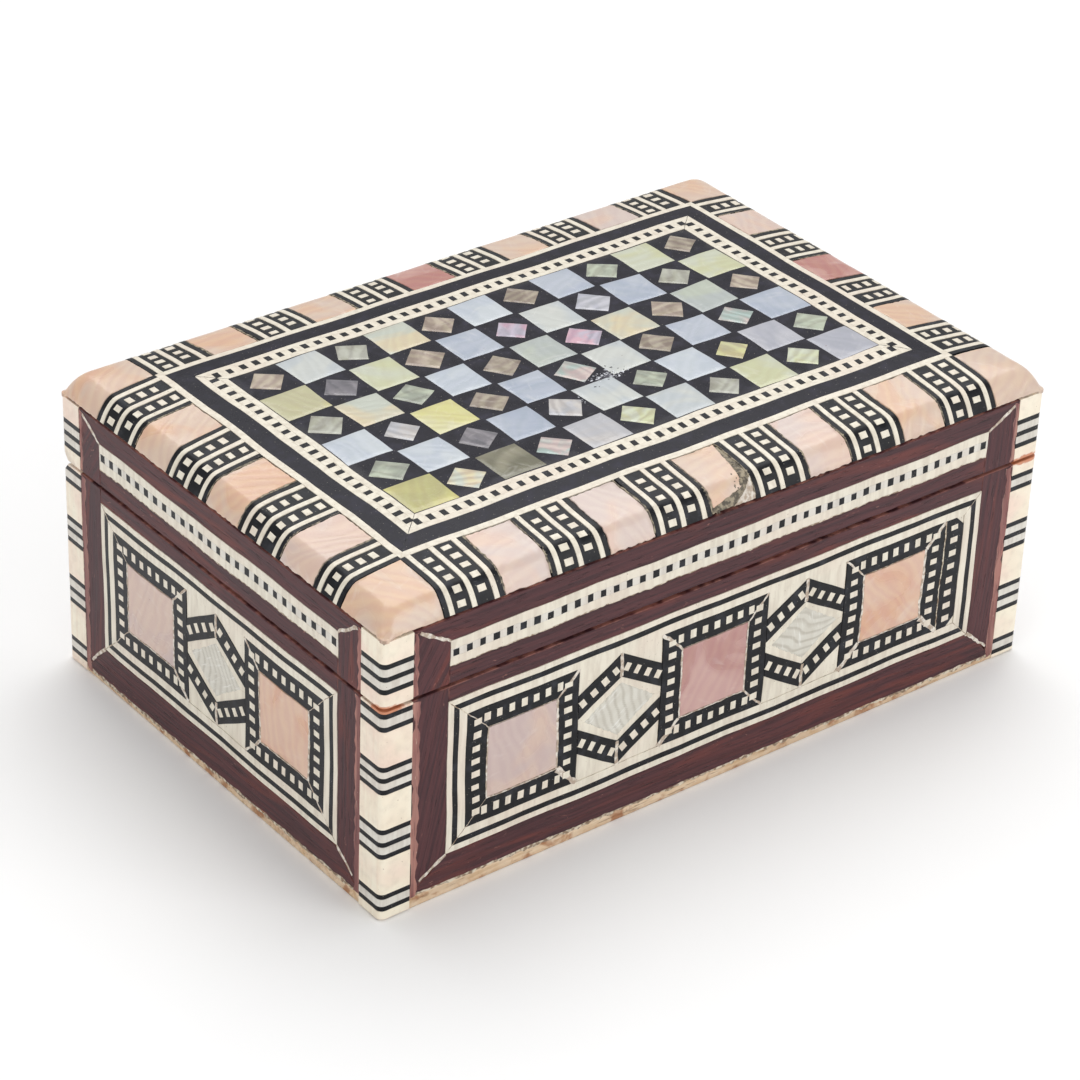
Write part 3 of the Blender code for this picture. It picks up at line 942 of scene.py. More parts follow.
def grained(points: Array, turn: float | Array, layer: float | Array) -> Array:
    """Places along and across a grain turned in radians, with a layer that tells the pieces apart."""
    along = points[:, 0] * np.cos(turn) + points[:, 1] * np.sin(turn)
    across = points[:, 1] * np.cos(turn) - points[:, 0] * np.sin(turn)
    return np.stack([along, across, np.broadcast_to(layer, along.shape)], axis=1)


def stacked(rows: int, sides: int) -> Faces:
    """Faces of a closed solid made of rings of points, from the first ring to the last.

    Args:
        rows: number of rings.
        sides: points in each, anticlockwise seen from the last ring.

    Returns:
        The faces.
    """
    index = np.arange(rows * sides).reshape(rows, sides)
    beside = np.roll(index, -1, axis=1)
    quads = np.stack([index[:-1], beside[:-1], beside[1:], index[1:]], axis=-1).reshape(-1, 4)
    return [tuple(face) for face in (*quads.tolist(), index[0, ::-1].tolist(), index[-1].tolist())]


def settle(name: str, mesh: Mesh, finish: Finish, body: str, nodes: Iterable[str] = ()) -> bpy.types.Object:
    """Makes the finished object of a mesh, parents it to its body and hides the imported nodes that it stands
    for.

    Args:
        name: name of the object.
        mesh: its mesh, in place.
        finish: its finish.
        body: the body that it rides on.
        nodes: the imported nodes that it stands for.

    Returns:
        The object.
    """
    mesh.materials.clear()
    mesh.materials.append(finish.material())
    made = put(name, mesh)
    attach(made, body)
    if nodes:
        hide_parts(*nodes)
    log.info("%s: %d faces, rides on %s", name, len(mesh.polygons), body)
    return made


# Geometry Nodes


class Setter(Graph):
    """A Geometry Nodes tree with named inputs, and the way to run it."""

    def __init__(self, name: str, inputs: dict[str, str]) -> None:
        """Makes the tree's group and its sockets.

        Args:
            name: name of the tree.
            inputs: socket type of each named input.
        """
        super().__init__(bpy.data.node_groups.new(name, "GeometryNodeTree"))
        face = self.tree.interface
        face.new_socket(name="Geometry", in_out="INPUT", socket_type="NodeSocketGeometry")
        for label, kind in inputs.items():
            face.new_socket(name=label, in_out="INPUT", socket_type=f"NodeSocket{kind}")
        face.new_socket(name="Geometry", in_out="OUTPUT", socket_type="NodeSocketGeometry")
        self.given = self.node("NodeGroupInput").outputs

    def deliver(self, instances: Socket) -> None:
        """Ends the tree: realises the instances and sets their material."""
        real = self.node("GeometryNodeRealizeInstances", {0: instances}).outputs[0]
        dressed = self.node("GeometryNodeSetMaterial", {"Geometry": real, "Material": self.given["Material"]})
        self.node("NodeGroupOutput", {0: dressed.outputs[0]})

    def run(self, guide: Mesh, values: dict[str, object]) -> Mesh:
        """Runs the tree on a guide.

        Args:
            guide: the mesh that it works on.
            values: a value for each named input.

        Returns:
            The result as a plain mesh.
        """
        holder = put(guide.name, guide)
        modifier = holder.modifiers.new("setter", "NODES")
        modifier.node_group = self.tree
        for item in self.tree.interface.items_tree:
            if item.in_out == "INPUT" and item.name in values:
                modifier[item.identifier] = values[item.name]
        graph = bpy.context.evaluated_depsgraph_get()
        result = bpy.data.meshes.new_from_object(holder.evaluated_get(graph))
        holder.modifiers.remove(modifier)
        bpy.data.objects.remove(holder)
        return result


@dataclass(frozen=True)
class Pip:
    """The small squares of a dotted strip.

    Attributes:
        pitch: distance from one to the next.
        across: their size across the strip.
        along: their size along it.
        wobble: how far each may stray.
    """

    pitch: float = 2.13
    across: float = 1.42
    along: float = 1.05
    wobble: float = 0.06


class PipSetter(Setter):
    """Sets bevelled squares along the edges of a guide."""

    bevel = 0.05

    def __init__(self) -> None:
        """Builds the tree: curve, even points, one pip for each point, turned along the strip."""
        sizes = dict.fromkeys(("Pitch", "Across", "Along", "Thickness", "Wobble"), "Float")
        super().__init__("set_pips_along_strip", {**sizes, "Seed": "Int", "Material": "Material"})
        curve = self.node("GeometryNodeMeshToCurve", {"Mesh": self.given["Geometry"]}).outputs[0]
        values = {"Curve": curve, "Length": self.given["Pitch"]}
        even = self.node("GeometryNodeResampleCurve", values, mode="LENGTH")
        strayed = self.stray(even.outputs[0])
        tangent = self.node("GeometryNodeInputTangent").outputs[0]
        turn = self.node("FunctionNodeAlignRotationToVector", {"Vector": tangent}, axis="X").outputs[0]
        values = {"Points": strayed, "Instance": self.pip(), "Rotation": turn, "Scale": self.uneven()}
        self.deliver(self.node("GeometryNodeInstanceOnPoints", values).outputs[0])

    def stray(self, points: Socket) -> Socket:
        """Shifts each point a little on the face."""
        low = self.calc("MULTIPLY", self.given["Wobble"], -1.0)
        limits = (low, self.given["Wobble"])
        ends = [self.node("ShaderNodeCombineXYZ", {0: end, 1: end}).outputs[0] for end in limits]
        values = {0: ends[0], 1: ends[1], "Seed": self.given["Seed"]}
        shift = self.node("FunctionNodeRandomValue", values, data_type="FLOAT_VECTOR").outputs[0]
        return self.node("GeometryNodeSetPosition", {"Geometry": points, "Offset": shift}).outputs[0]

    def uneven(self) -> Socket:
        """A slightly different size for each pip."""
        values = {0: (0.88, 0.9, 1.0), 1: (1.08, 1.06, 1.0), "Seed": self.given["Seed"]}
        return self.node("FunctionNodeRandomValue", values, data_type="FLOAT_VECTOR").outputs[0]

    def pip(self) -> Socket:
        """One pip, its bevelled face at the level of the guide."""
        sizes = {index: self.given[side] for index, side in enumerate(("Along", "Across", "Thickness"))}
        size = self.node("ShaderNodeCombineXYZ", sizes).outputs[0]
        cube = self.node("GeometryNodeMeshCube", {"Size": size}).outputs[0]
        normal = self.node("GeometryNodeInputNormal").outputs[0]
        upright = self.node("ShaderNodeSeparateXYZ", {0: normal}).outputs[2]
        facing = self.node("FunctionNodeCompare", {0: upright, 1: 0.5}, operation="GREATER_THAN").outputs[0]
        values = {"Mesh": cube, "Selection": facing, "Offset Scale": self.bevel}
        drawn = self.node("GeometryNodeExtrudeMesh", values)
        values = {"Geometry": drawn.outputs["Mesh"], "Selection": drawn.outputs["Top"], "Scale": 0.9}
        bevelled = self.node("GeometryNodeScaleElements", values).outputs[0]
        half = self.calc("MULTIPLY", self.given["Thickness"], -0.5)
        drop = self.node("ShaderNodeCombineXYZ", {2: self.calc("SUBTRACT", half, self.bevel)}).outputs[0]
        return self.node("GeometryNodeTransform", {"Geometry": bevelled, "Translation": drop}).outputs[0]


class PieceSetter(Setter):
    """Sets copies of one piece at the points of a guide, by the turn and size that each point carries."""

    def __init__(self) -> None:
        """Builds the tree."""
        inputs = {"Piece": "Object", "Turn Spread": "Float", "Size Spread": "Float", "Seed": "Int"}
        super().__init__("set_pieces_at_points", {**inputs, "Material": "Material"})
        turn, size = [
            self.node("GeometryNodeInputNamedAttribute", {"Name": name}, data_type=kind).outputs[0]
            for name, kind in (("turn", "FLOAT"), ("size", "FLOAT_VECTOR"))
        ]
        turned = self.calc("ADD", turn, self.random("Turn Spread"))
        about = self.node("ShaderNodeCombineXYZ", {2: turned}).outputs[0]
        rotation = self.node("FunctionNodeEulerToRotation", {0: about}).outputs[0]
        factor = self.calc("ADD", 1.0, self.random("Size Spread"))
        scale = self.node("ShaderNodeVectorMath", {0: size, "Scale": factor}, operation="SCALE").outputs[0]
        piece = self.node("GeometryNodeObjectInfo", {"Object": self.given["Piece"]}).outputs["Geometry"]
        values = {"Points": self.given["Geometry"], "Instance": piece, "Rotation": rotation, "Scale": scale}
        self.deliver(self.node("GeometryNodeInstanceOnPoints", values).outputs[0])

    def random(self, spread: str) -> Socket:
        """A number for each point, as far either way as the named input says."""
        low = self.calc("MULTIPLY", self.given[spread], -1.0)
        made = self.node("FunctionNodeRandomValue", {"Seed": self.given["Seed"]}, data_type="FLOAT")
        self.tree.links.new(low, made.inputs[2])
        self.tree.links.new(self.given[spread], made.inputs[3])
        return made.outputs[1]


@dataclass
class Toolbox:
    """The two trees and the seeded chance that every layout shares.

    Attributes:
        pips: sets dotted rows.
        copies: sets copies of a piece.
        chance: the shared seeded chance.
    """

    pips: PipSetter
    copies: PieceSetter
    chance: np.random.Generator

    def set_copies(
        self, piece: Mesh, spots: list[dict[str, object]], spreads: Spot, seed: int
    ) -> tuple[Array, Faces, dict[str, Array]]:
        """Sets copies of a piece.

        Args:
            piece: the piece, one millimetre in size.
            spots: for each copy its at, turn, size and what it carries (tint, glow and lay).
            spreads: how far turns, in radians, and sizes, as a share, may stray.
            seed: seed of that.

        Returns:
            Points, faces and what the points carry.
        """
        guide = bpy.data.meshes.new("copy_spots")
        guide.from_pydata([spot["at"] for spot in spots], [], [])
        white = (1.0, 1.0, 1.0)
        for name, blank in (("turn", 0.0), ("lay", 0.0), ("size", white), ("tint", white), ("glow", white)):
            store(guide, name, np.array([spot.get(name, blank) for spot in spots]))
        template = put("copied_piece", piece)
        values = {"Piece": template, "Turn Spread": spreads[0], "Size Spread": spreads[1], "Seed": seed}
        result = self.copies.run(guide, values)
        bpy.data.objects.remove(template)
        points, faces = read_mesh(result)
        kept = [name for name in ("tint", "glow", "edge") if name in result.attributes]
        carried = {name: stored(result, name) for name in kept}
        lay = stored(result, "lay")
        carried["grain"] = grained(points, lay, lay * 40)
        bpy.data.meshes.remove(result)
        return points, faces, carried


def read_mesh(mesh: Mesh) -> tuple[Array, Faces]:
    """Points and faces of a mesh."""
    points = np.zeros(len(mesh.vertices) * 3, np.float32)
    mesh.vertices.foreach_get("co", points)
    return points.reshape(-1, 3).astype(float), [tuple(face.vertices) for face in mesh.polygons]


class Flat:
    """The flat layout of one face: pieces of several finishes."""

    def __init__(self, tools: Toolbox) -> None:
        """Starts an empty layout."""
        self.tools = tools
        self.kinds: dict[Finish, Pieces] = {}

    def of(self, finish: Finish) -> Pieces:
        """The pieces of one finish."""
        return self.kinds.setdefault(finish, Pieces())

    def tile(self, finish: Finish, corners: list[Spot], cut: Cut, look: Look = PLAIN) -> None:
        """Adds a four-sided piece.

        Args:
            finish: its finish.
            corners: its corners, anticlockwise.
            cut: how it is cut.
            look: what its finish varies by.
        """
        a, b, c, d = (np.array(corner, float) for corner in corners)
        width = max(np.linalg.norm(b - a), np.linalg.norm(c - d))
        height = max(np.linalg.norm(d - a), np.linalg.norm(c - b))
        s, t = np.meshgrid(ticks(width, cut.chamfer, cut.step), ticks(height, cut.chamfer, cut.step))
        s, t = s[..., None], t[..., None]
        flat = a * (1 - s) * (1 - t) + b * s * (1 - t) + c * s * t + d * (1 - s) * t
        edge = np.zeros(flat.shape[:2])
        edge[[0, -1], :] = edge[:, [0, -1]] = 1.0
        if cut.rag:
            self.tear(flat, cut.rag, (b - a) / width, (d - a) / height)
        out = cut.lift - cut.chamfer * edge
        hollow = np.zeros(edge.shape)
        if look.relief is not None:
            drop = look.relief(flat[..., 0], flat[..., 1])
            out = out - drop * (1 - edge)
            hollow = drop / max(drop.max(), 1e-6)
        top = np.concatenate([flat, out[..., None]], axis=-1)
        points, faces = solid_under(top, cut.depth)
        ring = len(points) - edge.size
        angle = math.atan2(*(b - a)[::-1]) + math.radians(look.turn)
        carried = {
            **look.tone.tints,
            "grain": grained(points, angle, self.tools.chance.uniform(0, 500)),
            "edge": np.concatenate([edge.ravel(), np.ones(ring)]),
            "hollow": np.concatenate([hollow.ravel(), np.ones(ring)]),
        }
        self.of(finish).add(points, faces, carried)

    def tear(self, flat: Array, amount: float, along: Array, across: Array) -> None:
        """Moves the outline of a grid, and the worn edge inside it, unevenly inwards.

        Args:
            flat: rows by columns of places, changed in place.
            amount: the most that a place moves.
            along: direction of the rows.
            across: direction of the columns.
        """
        rows, columns = flat.shape[:2]
        for pair, sign in (([0, 1], 1), ([-1, -2], -1)):
            sideways = sign * amount * self.tools.chance.random(rows) ** 2
            upwards = sign * amount * self.tools.chance.random(columns) ** 2
            flat[:, pair] += sideways[:, None, None] * along
            flat[pair, :] += upwards[None, :, None] * across

    def frame(self, finish: Finish, corners: list[Spot], width: float, cut: Cut) -> list[Spot]:
        """Adds a mitred frame inside a rectangle.

        Args:
            finish: its finish.
            corners: the outer rectangle.
            width: width of the strips.
            cut: how they are cut.

        Returns:
            The rectangle left inside the frame.
        """
        inner = shrunk(corners, width)
        for strip in mitred(corners, inner):
            self.tile(finish, strip, cut)
        return inner

    def bead(
        self, finish: Finish, ends: Stretch, width: float, lift: float = 0.0, uneven: float = 0.5,
        taper: float = 1.0,
    ) -> None:
        """Adds an uneven line of filler.

        Args:
            finish: its finish.
            ends: where it starts and ends.
            width: its width.
            lift: how far its face stands out.
            uneven: how much its width varies, as a share.
            taper: its width at the end, as a share of that at the start.
        """
        chance = self.tools.chance
        start, end = (np.array(spot, float) for spot in ends)
        length = np.linalg.norm(end - start)
        count = max(3, round(length / 0.6))
        way = (end - start) / length
        side = np.array([-way[1], way[0]])
        shares = np.linspace(0, 1, count)
        centres = start + np.outer(shares, end - start) + np.outer(chance.normal(0, 0.04, count), side)
        widths = width * np.linspace(1, taper, count) * (1 + uneven * chance.uniform(-1, 1, (3, count))) / 2
        rows = []
        for offset, drop, row in ((-1, 0.02, 0), (0, 0.0, 1), (1, 0.02, 2)):
            flat = centres + side * (offset * widths[row])[:, None]
            rows.append(np.concatenate([flat, np.full((count, 1), lift - drop)], axis=1))
        points, faces = solid_under(np.stack(rows), 0.4)
        self.of(finish).add(points, faces, {"edge": 0.3})

    def pips(self, finish: Finish, guides: list[Stretch], pip: Pip, seed: int, lift: float = 0.0) -> None:
        """Adds dotted rows.

        Args:
            finish: finish of the small squares.
            guides: where each row starts and ends.
            pip: the squares.
            seed: seed of their unevenness.
            lift: how far they stand out.
        """
        mesh = bpy.data.meshes.new("pip_rows")
        ends = [(*spot, lift) for guide in guides for spot in guide]
        mesh.from_pydata(ends, [(2 * i, 2 * i + 1) for i in range(len(guides))], [])
        values = {
            "Pitch": pip.pitch, "Across": pip.across, "Along": pip.along, "Thickness": 0.25,
            "Wobble": pip.wobble, "Seed": seed, "Material": finish.material(),
        }
        result = self.tools.pips.run(mesh, values)
        points, faces = read_mesh(result)
        bpy.data.meshes.remove(result)
        self.of(finish).add(points, faces, {})

    def lumps(self, finish: Finish, centre: Spot, reach: Spot, count: int, size: Spot, seed: int) -> None:
        """Scatters crumbs of filler, of resin, or of grit whose near-white colour is a painted highlight.

        Args:
            finish: their finish.
            centre: middle of the patch.
            reach: half its size each way.
            count: how many there are.
            size: smallest and largest width.
            seed: seed of where they lie.
        """
        chance = np.random.default_rng(seed)
        spots = []
        for _ in range(count):
            u = centre[0] + chance.normal(0, 0.45) * reach[0]
            v = centre[1] + chance.normal(0, 0.45) * reach[1]
            wide = chance.uniform(*size)
            spots.append({"at": (u, v, -0.06), "turn": chance.uniform(0, 6), "size": (wide, wide * 0.7, 0.1)})
        shape = bmesh.new()
        bmesh.ops.create_icosphere(shape, subdivisions=1, radius=0.5)
        for vert in shape.verts:
            vert.co *= 1 + 0.25 * math.sin(9 * vert.co.x + 7 * vert.co.y + 5 * vert.co.z)
            vert.co.z = min(vert.co.z, 0.5)
        crumb = bpy.data.meshes.new("crumb")
        shape.to_mesh(crumb)
        shape.free()
        points, faces, _ = self.tools.set_copies(crumb, spots, (0.5, 0.2), seed)
        self.of(finish).add(points, faces, {"edge": 0.4})

    def make(
        self, name: str, face: Face, body: str, nodes: dict[Finish, tuple[str, ...]], trimmed: int = 0
    ) -> None:
        """Makes one object of each finish.

        Args:
            name: start of the objects' names.
            face: the face that the layout belongs on.
            body: the body that it rides on.
            nodes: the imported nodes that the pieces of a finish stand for.
            trimmed: -1 or 1 to cut the back chamfer of the base or the lid.
        """
        for finish, pieces in self.kinds.items():
            mesh = pieces.mesh(f"{name}_{finish.name}", face.place)
            if trimmed:
                trim_back(mesh, trimmed)
            settle(f"{name}_{finish.name}", mesh, finish, body, nodes.get(finish, ()))


# Sides of the base and of the lid

VENEER = Cut(1.45, 0.12, 2.0, -0.05)
WORN = Cut(0.4, 0.05, 1.1, -0.01, 0.5)
LINE = Cut(0.4, 0.04, 3.0, -0.02)
GROUND = Cut(0.4, 0.05, 2.5, -0.12)
STRIP = Cut(0.35, 0.05, 2.5, -0.03)
PEARL_CUT = Cut(0.5, 0.09, 0.9, -0.01, 0.1)
BED = Cut(0.7, 0.02, 4.0, -0.2)
SIDE_PIP = Pip()
LID_PIP = Pip(2.26, 1.3, 1.15, 0.05)


def ripple(strength: float, phase: float) -> Relief:
    """The soft unevenness of a polished pearl face.

    Args:
        strength: depth of the unevenness.
        phase: shifts the pattern from piece to piece.

    Returns:
        A function from places to depths.
    """
    first, second = (0.55, 0.35, phase), (-0.2, 0.42, 2 * phase)
    waves = [lambda u, v, a=a, b=b, c=c: np.sin(a * u + b * v + c) for a, b, c in (first, second)]
    return lambda u, v: strength * (1 + waves[0](u, v) * waves[1](u, v))


def ribs(turn: float, pitch: float, swirl: float) -> Relief:
    """Wavy ridges of unpolished shell.

    Args:
        turn: direction across the ridges, in degrees.
        pitch: distance between them.
        swirl: how far they wave.

    Returns:
        A function from places to depths.
    """
    x, y = math.cos(math.radians(turn)), math.sin(math.radians(turn))

    def depth(u: Array, v: Array) -> Array:
        """Depth of the face at each place."""
        across, along = u * x + v * y, v * x - u * y
        wave = across + swirl * np.sin(0.5 * along + 0.35 * across) + 0.1 * np.sin(1.7 * along + 0.9 * across)
        return 0.026 * (1 + np.sin(2 * math.pi * wave / pitch)) + 0.01 * (1 + np.sin(9.1 * wave))

    return depth


def between_hinges(face: Face, ends: Spot, plain: float, pocket: float) -> list[tuple[float, float, float]]:
    """Stretches of a strip beside the lid joint, which gives way to the hinges at the back.

    Args:
        face: the side.
        ends: where the strip starts and ends.
        plain: where it ends at the joint.
        pocket: where it ends at a hinge.

    Returns:
        Start, end and edge of each stretch.
    """
    if face is not Face.BACK:
        return [(*ends, plain)]
    pockets = [middle + side * POCKET_HALF for middle in (-HINGE_X, HINGE_X) for side in (-1, 1)]
    cuts = [ends[0], *pockets, ends[1]]
    return list(zip(cuts, cuts[1:], (plain, pocket, plain, pocket, plain)))


class Block(Enum):
    """Kinds of blocks in a side panel, with their widths."""

    SQUARE = 19.4
    DIAMOND = 14.7
    LADDER = 3.6


@dataclass(frozen=True)
class PanelPart:
    """One block of a panel.

    Attributes:
        kind: what it is.
        tone: the tint of its pearl.
        turn: direction across the ridges of its shell.
        swirl: how far those ridges wave.
    """

    kind: Block
    tone: Tone = Tone.PEACH
    turn: float = 20.0
    swirl: float = 0.3


@dataclass
class BaseSide:
    """One side of the base: mahogany frame, stringing, and a row of blocks.

    Attributes:
        face: the side.
        parts: its blocks from left to right.
        panel_inset: distance from the ends of the side to the inlay.
        panel_low: lower edge of the inlay.
        panel_high: upper edge of the inlay.
        stringing: widths of the bone, black and bone lines.
        worn_low: lower edge of the mahogany at the left and the right.
        mitre_filler: usual width of the filler in a mitre of a dotted frame.
        ladder_width: width of a dotted strip.
        slant: slope of a slanting strip, and its height where it is cut upright.
        shell_reach: half the width and height of a piece of ribbed shell.
    """

    face: Face
    parts: tuple[PanelPart, ...]
    panel_inset: float
    panel_low: float = 6.9
    panel_high: float = 32.2
    stringing: tuple[float, float, float] = (0.95, 0.9, 1.3)
    worn_low: Spot = (2.3, 1.2)
    mitre_filler: float = 0.5
    ladder_width: float = 3.55
    slant: Spot = (0.625, 4.0)
    shell_reach: Spot = (6.3, 4.5)

    def build(self, tools: Toolbox) -> None:
        """Lays the side out and makes its pieces.

        Args:
            tools: the shared tools.
        """
        veneer, panel = Flat(tools), Flat(tools)
        half = self.face.half_run - self.panel_inset
        opening = rect(-half, half, self.panel_low, self.panel_high)
        self.lay_veneer(veneer, opening)
        panel.tile(FILLER, shrunk(opening, -0.1), BED)
        inner = opening
        for width, finish in zip(self.stringing, (BONE, BLACK, BONE)):
            inner = panel.frame(finish, inner, width, LINE)
        for index, mitre in enumerate(zip(opening, inner)):
            panel.bead(FILLER, mitre, 0.2 if index in (0, 3) else 0.12, -0.005)
        self.lay_blocks(panel, inner)
        side = self.face.value
        trimmed = -1 if self.face is Face.BACK else 0
        veneer.make(f"base_{side}", self.face, "base", {MAHOGANY: (f"base_veneer_{side}",)}, trimmed)
        panel.make(f"base_{side}_panel", self.face, "base", {BONE: (f"base_inlay_{side}",)}, trimmed)

    def lay_veneer(self, flat: Flat, opening: list[Spot]) -> None:
        """Mahogany: uprights as tall as the side, a mitred strip below, and a butted one above.

        Args:
            flat: the layout.
            opening: the rectangle left for the inlay.
        """
        end = self.face.half_run - POST
        (u0, v0), (u1, v1) = opening[0], opening[2]
        left, right = self.worn_low
        worn = Cut(1.45, 0.12, 1.0, -0.05, 0.4)
        uprights = (((-end, left), (u0, v0), 40.0), ((u1, v0), (end, right), 130.0))
        for start, stop, turn in uprights:
            corners = [start, stop, (stop[0], BASE_TOP), (start[0], BASE_TOP)]
            flat.tile(MAHOGANY, corners, VENEER, Look(turn=turn))
        flat.tile(MAHOGANY, [(-end, left), (end, right), (u1, v0), (u0, v0)], worn)
        flat.bead(FILLER, ((-end, left - 0.1), (end, right - 0.1)), 0.5, -0.12, 0.95)
        for start, stop, top in between_hinges(self.face, (u0, u1), BASE_TOP, SEAM - POCKET_RISE):
            flat.tile(MAHOGANY, rect(start, stop, v1, top), VENEER)
        for sign, low in ((-1, left), (1, right)):
            near, far = sorted((sign * (end - 1.4), sign * (end + 0.1)))
            flat.tile(WORN_WOOD, rect(near, far, low - 0.4, BASE_TOP - 0.1), WORN, Look(turn=90))
            flat.bead(CHALK, ((sign * (end - 1.6), low + 2.0), (sign * u1, v0)), 0.4, 0.0, 0.4, 1.4)

    def lay_blocks(self, flat: Flat, inner: list[Spot]) -> None:
        """The row of blocks, with what is left over shared between them as filler.

        Args:
            flat: the layout.
            inner: the rectangle inside the stringing.
        """
        (u0, v0), (u1, v1) = inner[0], inner[2]
        spare = (u1 - u0 - sum(part.kind.value for part in self.parts)) / len(self.parts)
        ways = {Block.SQUARE: self.square, Block.DIAMOND: self.diamond, Block.LADDER: self.ladder}
        guides: list[Stretch] = []
        edge = u0
        for part in self.parts:
            area = rect(edge + spare / 2, edge + spare / 2 + part.kind.value, v0, v1)
            guides += ways[part.kind](flat, area, part)
            edge += part.kind.value + spare
        flat.pips(BONE, guides, SIDE_PIP, 11 + list(Face).index(self.face))

    def square(self, flat: Flat, area: list[Spot], part: PanelPart) -> list[Stretch]:
        """A pearl square in a dotted frame.

        Args:
            flat: the layout.
            area: its rectangle.
            part: the block.

        Returns:
            Its dotted rows.
        """
        chance = flat.tools.chance
        inner = flat.frame(BLACK, area, self.ladder_width, STRIP)
        for start, end in zip(area, inner):
            wide = self.mitre_filler * chance.choice((0.25, 0.8, 1.2, 1.6))
            flat.bead(CHALK, (start, end), wide, 0.0, 0.35, chance.uniform(0.4, 1.2))
        window = shrunk(inner, 0.16)
        look = Look(part.tone, chance.uniform(-40, 40), ripple(0.02, chance.uniform(0, 6)))
        flat.tile(PEARL, window, PEARL_CUT, look)
        (u0, v0), (u1, v1) = inner[0], inner[2]
        for u in (u0 + 0.1, u1 - 0.1):
            flat.bead(CHALK, ((u, v0), (u, v1)), 0.3 * chance.uniform(0.6, 1.5), -0.005, 0.5)
        flat.bead(CHALK, ((u0, v0 + 0.05), (u1, v0 + 0.05)), 0.16, -0.005, 0.6)
        (a0, b0), (a1, b1) = area[0], area[2]
        half = self.ladder_width / 2
        level, plumb = 3.3, 2.0
        rows = [((a0 + level, v), (a1 - level, v)) for v in (b0 + half, b1 - half)]
        return rows + [((u, b0 + plumb), (u, b1 - plumb)) for u in (a0 + half, a1 - half)]

    def diamond(self, flat: Flat, area: list[Spot], part: PanelPart) -> list[Stretch]:
        """Ribbed shell between four slanting dotted strips on bone.

        Args:
            flat: the layout.
            area: its rectangle.
            part: the block.

        Returns:
            Its dotted rows.
        """
        (u0, v0), (u1, v1) = area[0], area[2]
        centre, middle, reach, tall = (u0 + u1) / 2, (v0 + v1) / 2, (u1 - u0) / 2, (v1 - v0) / 2
        slope, thick = self.slant
        for start, end in ((centre - reach, centre), (centre, u1)):
            for low, high in ((middle, v1), (v0, middle)):
                flat.tile(BONE, rect(start, end, low, high), GROUND)
        rows: list[Stretch] = []
        for across in (-1, 1):
            for up in (-1, 1):
                tip, foot = tall - 0.05, tall - 0.05 - reach * slope
                corners = [(0, tip - thick), (reach, foot - thick), (reach, foot), (0, tip)]
                placed = [(centre + across * x, middle + up * y) for x, y in corners]
                flat.tile(BLACK, placed if across * up > 0 else placed[::-1], STRIP)
                line = [(x, tip - thick / 2 - x * slope) for x in (1.0, reach - 0.75)]
                rows.append(tuple((centre + across * x, middle + up * y) for x, y in line))
        for up in (-1, 1):
            joint = (centre, middle + up * tall), (centre, middle + up * (tall - thick))
            flat.bead(CHALK, joint, 0.55, 0.0, 0.3)
        ways = ((-1, 0), (0, -1), (1, 0), (0, 1))
        shell = [(centre + x * self.shell_reach[0], middle + y * self.shell_reach[1]) for x, y in ways]
        cut = Cut(0.5, 0.12, 0.28, 0.0, 0.2)
        flat.tile(RIBBED, shell, cut, Look(Tone.SILVER, part.turn + 55, ribs(part.turn, 1.25, part.swirl)))
        return rows

    def ladder(self, flat: Flat, area: list[Spot], part: PanelPart) -> list[Stretch]:
        """A dotted end strip with its outer corners cut off.

        Args:
            flat: the layout.
            area: its rectangle.
            part: the block; not used.

        Returns:
            Its dotted row.
        """
        (u0, v0), (u1, v1) = area[0], area[2]
        bevel = 1.5
        flat.tile(BONE, area, GROUND)
        low, high = v0 + bevel, v1 - bevel
        foot = [(u0, v0), (u1 - bevel, v0), (u1, low), (u0, low)]
        head = [(u0, high), (u1, high), (u1 - bevel, v1), (u0, v1)]
        for corners in (rect(u0, u1, low, high), foot, head):
            flat.tile(BLACK, corners, STRIP)
        flat.bead(FILLER, ((u0, v0), (u0, v1)), 0.2, 0.0)
        middle = (u0 + u1) / 2
        return [((middle, v0 + 1.6), (middle, v1 - 1.6))]


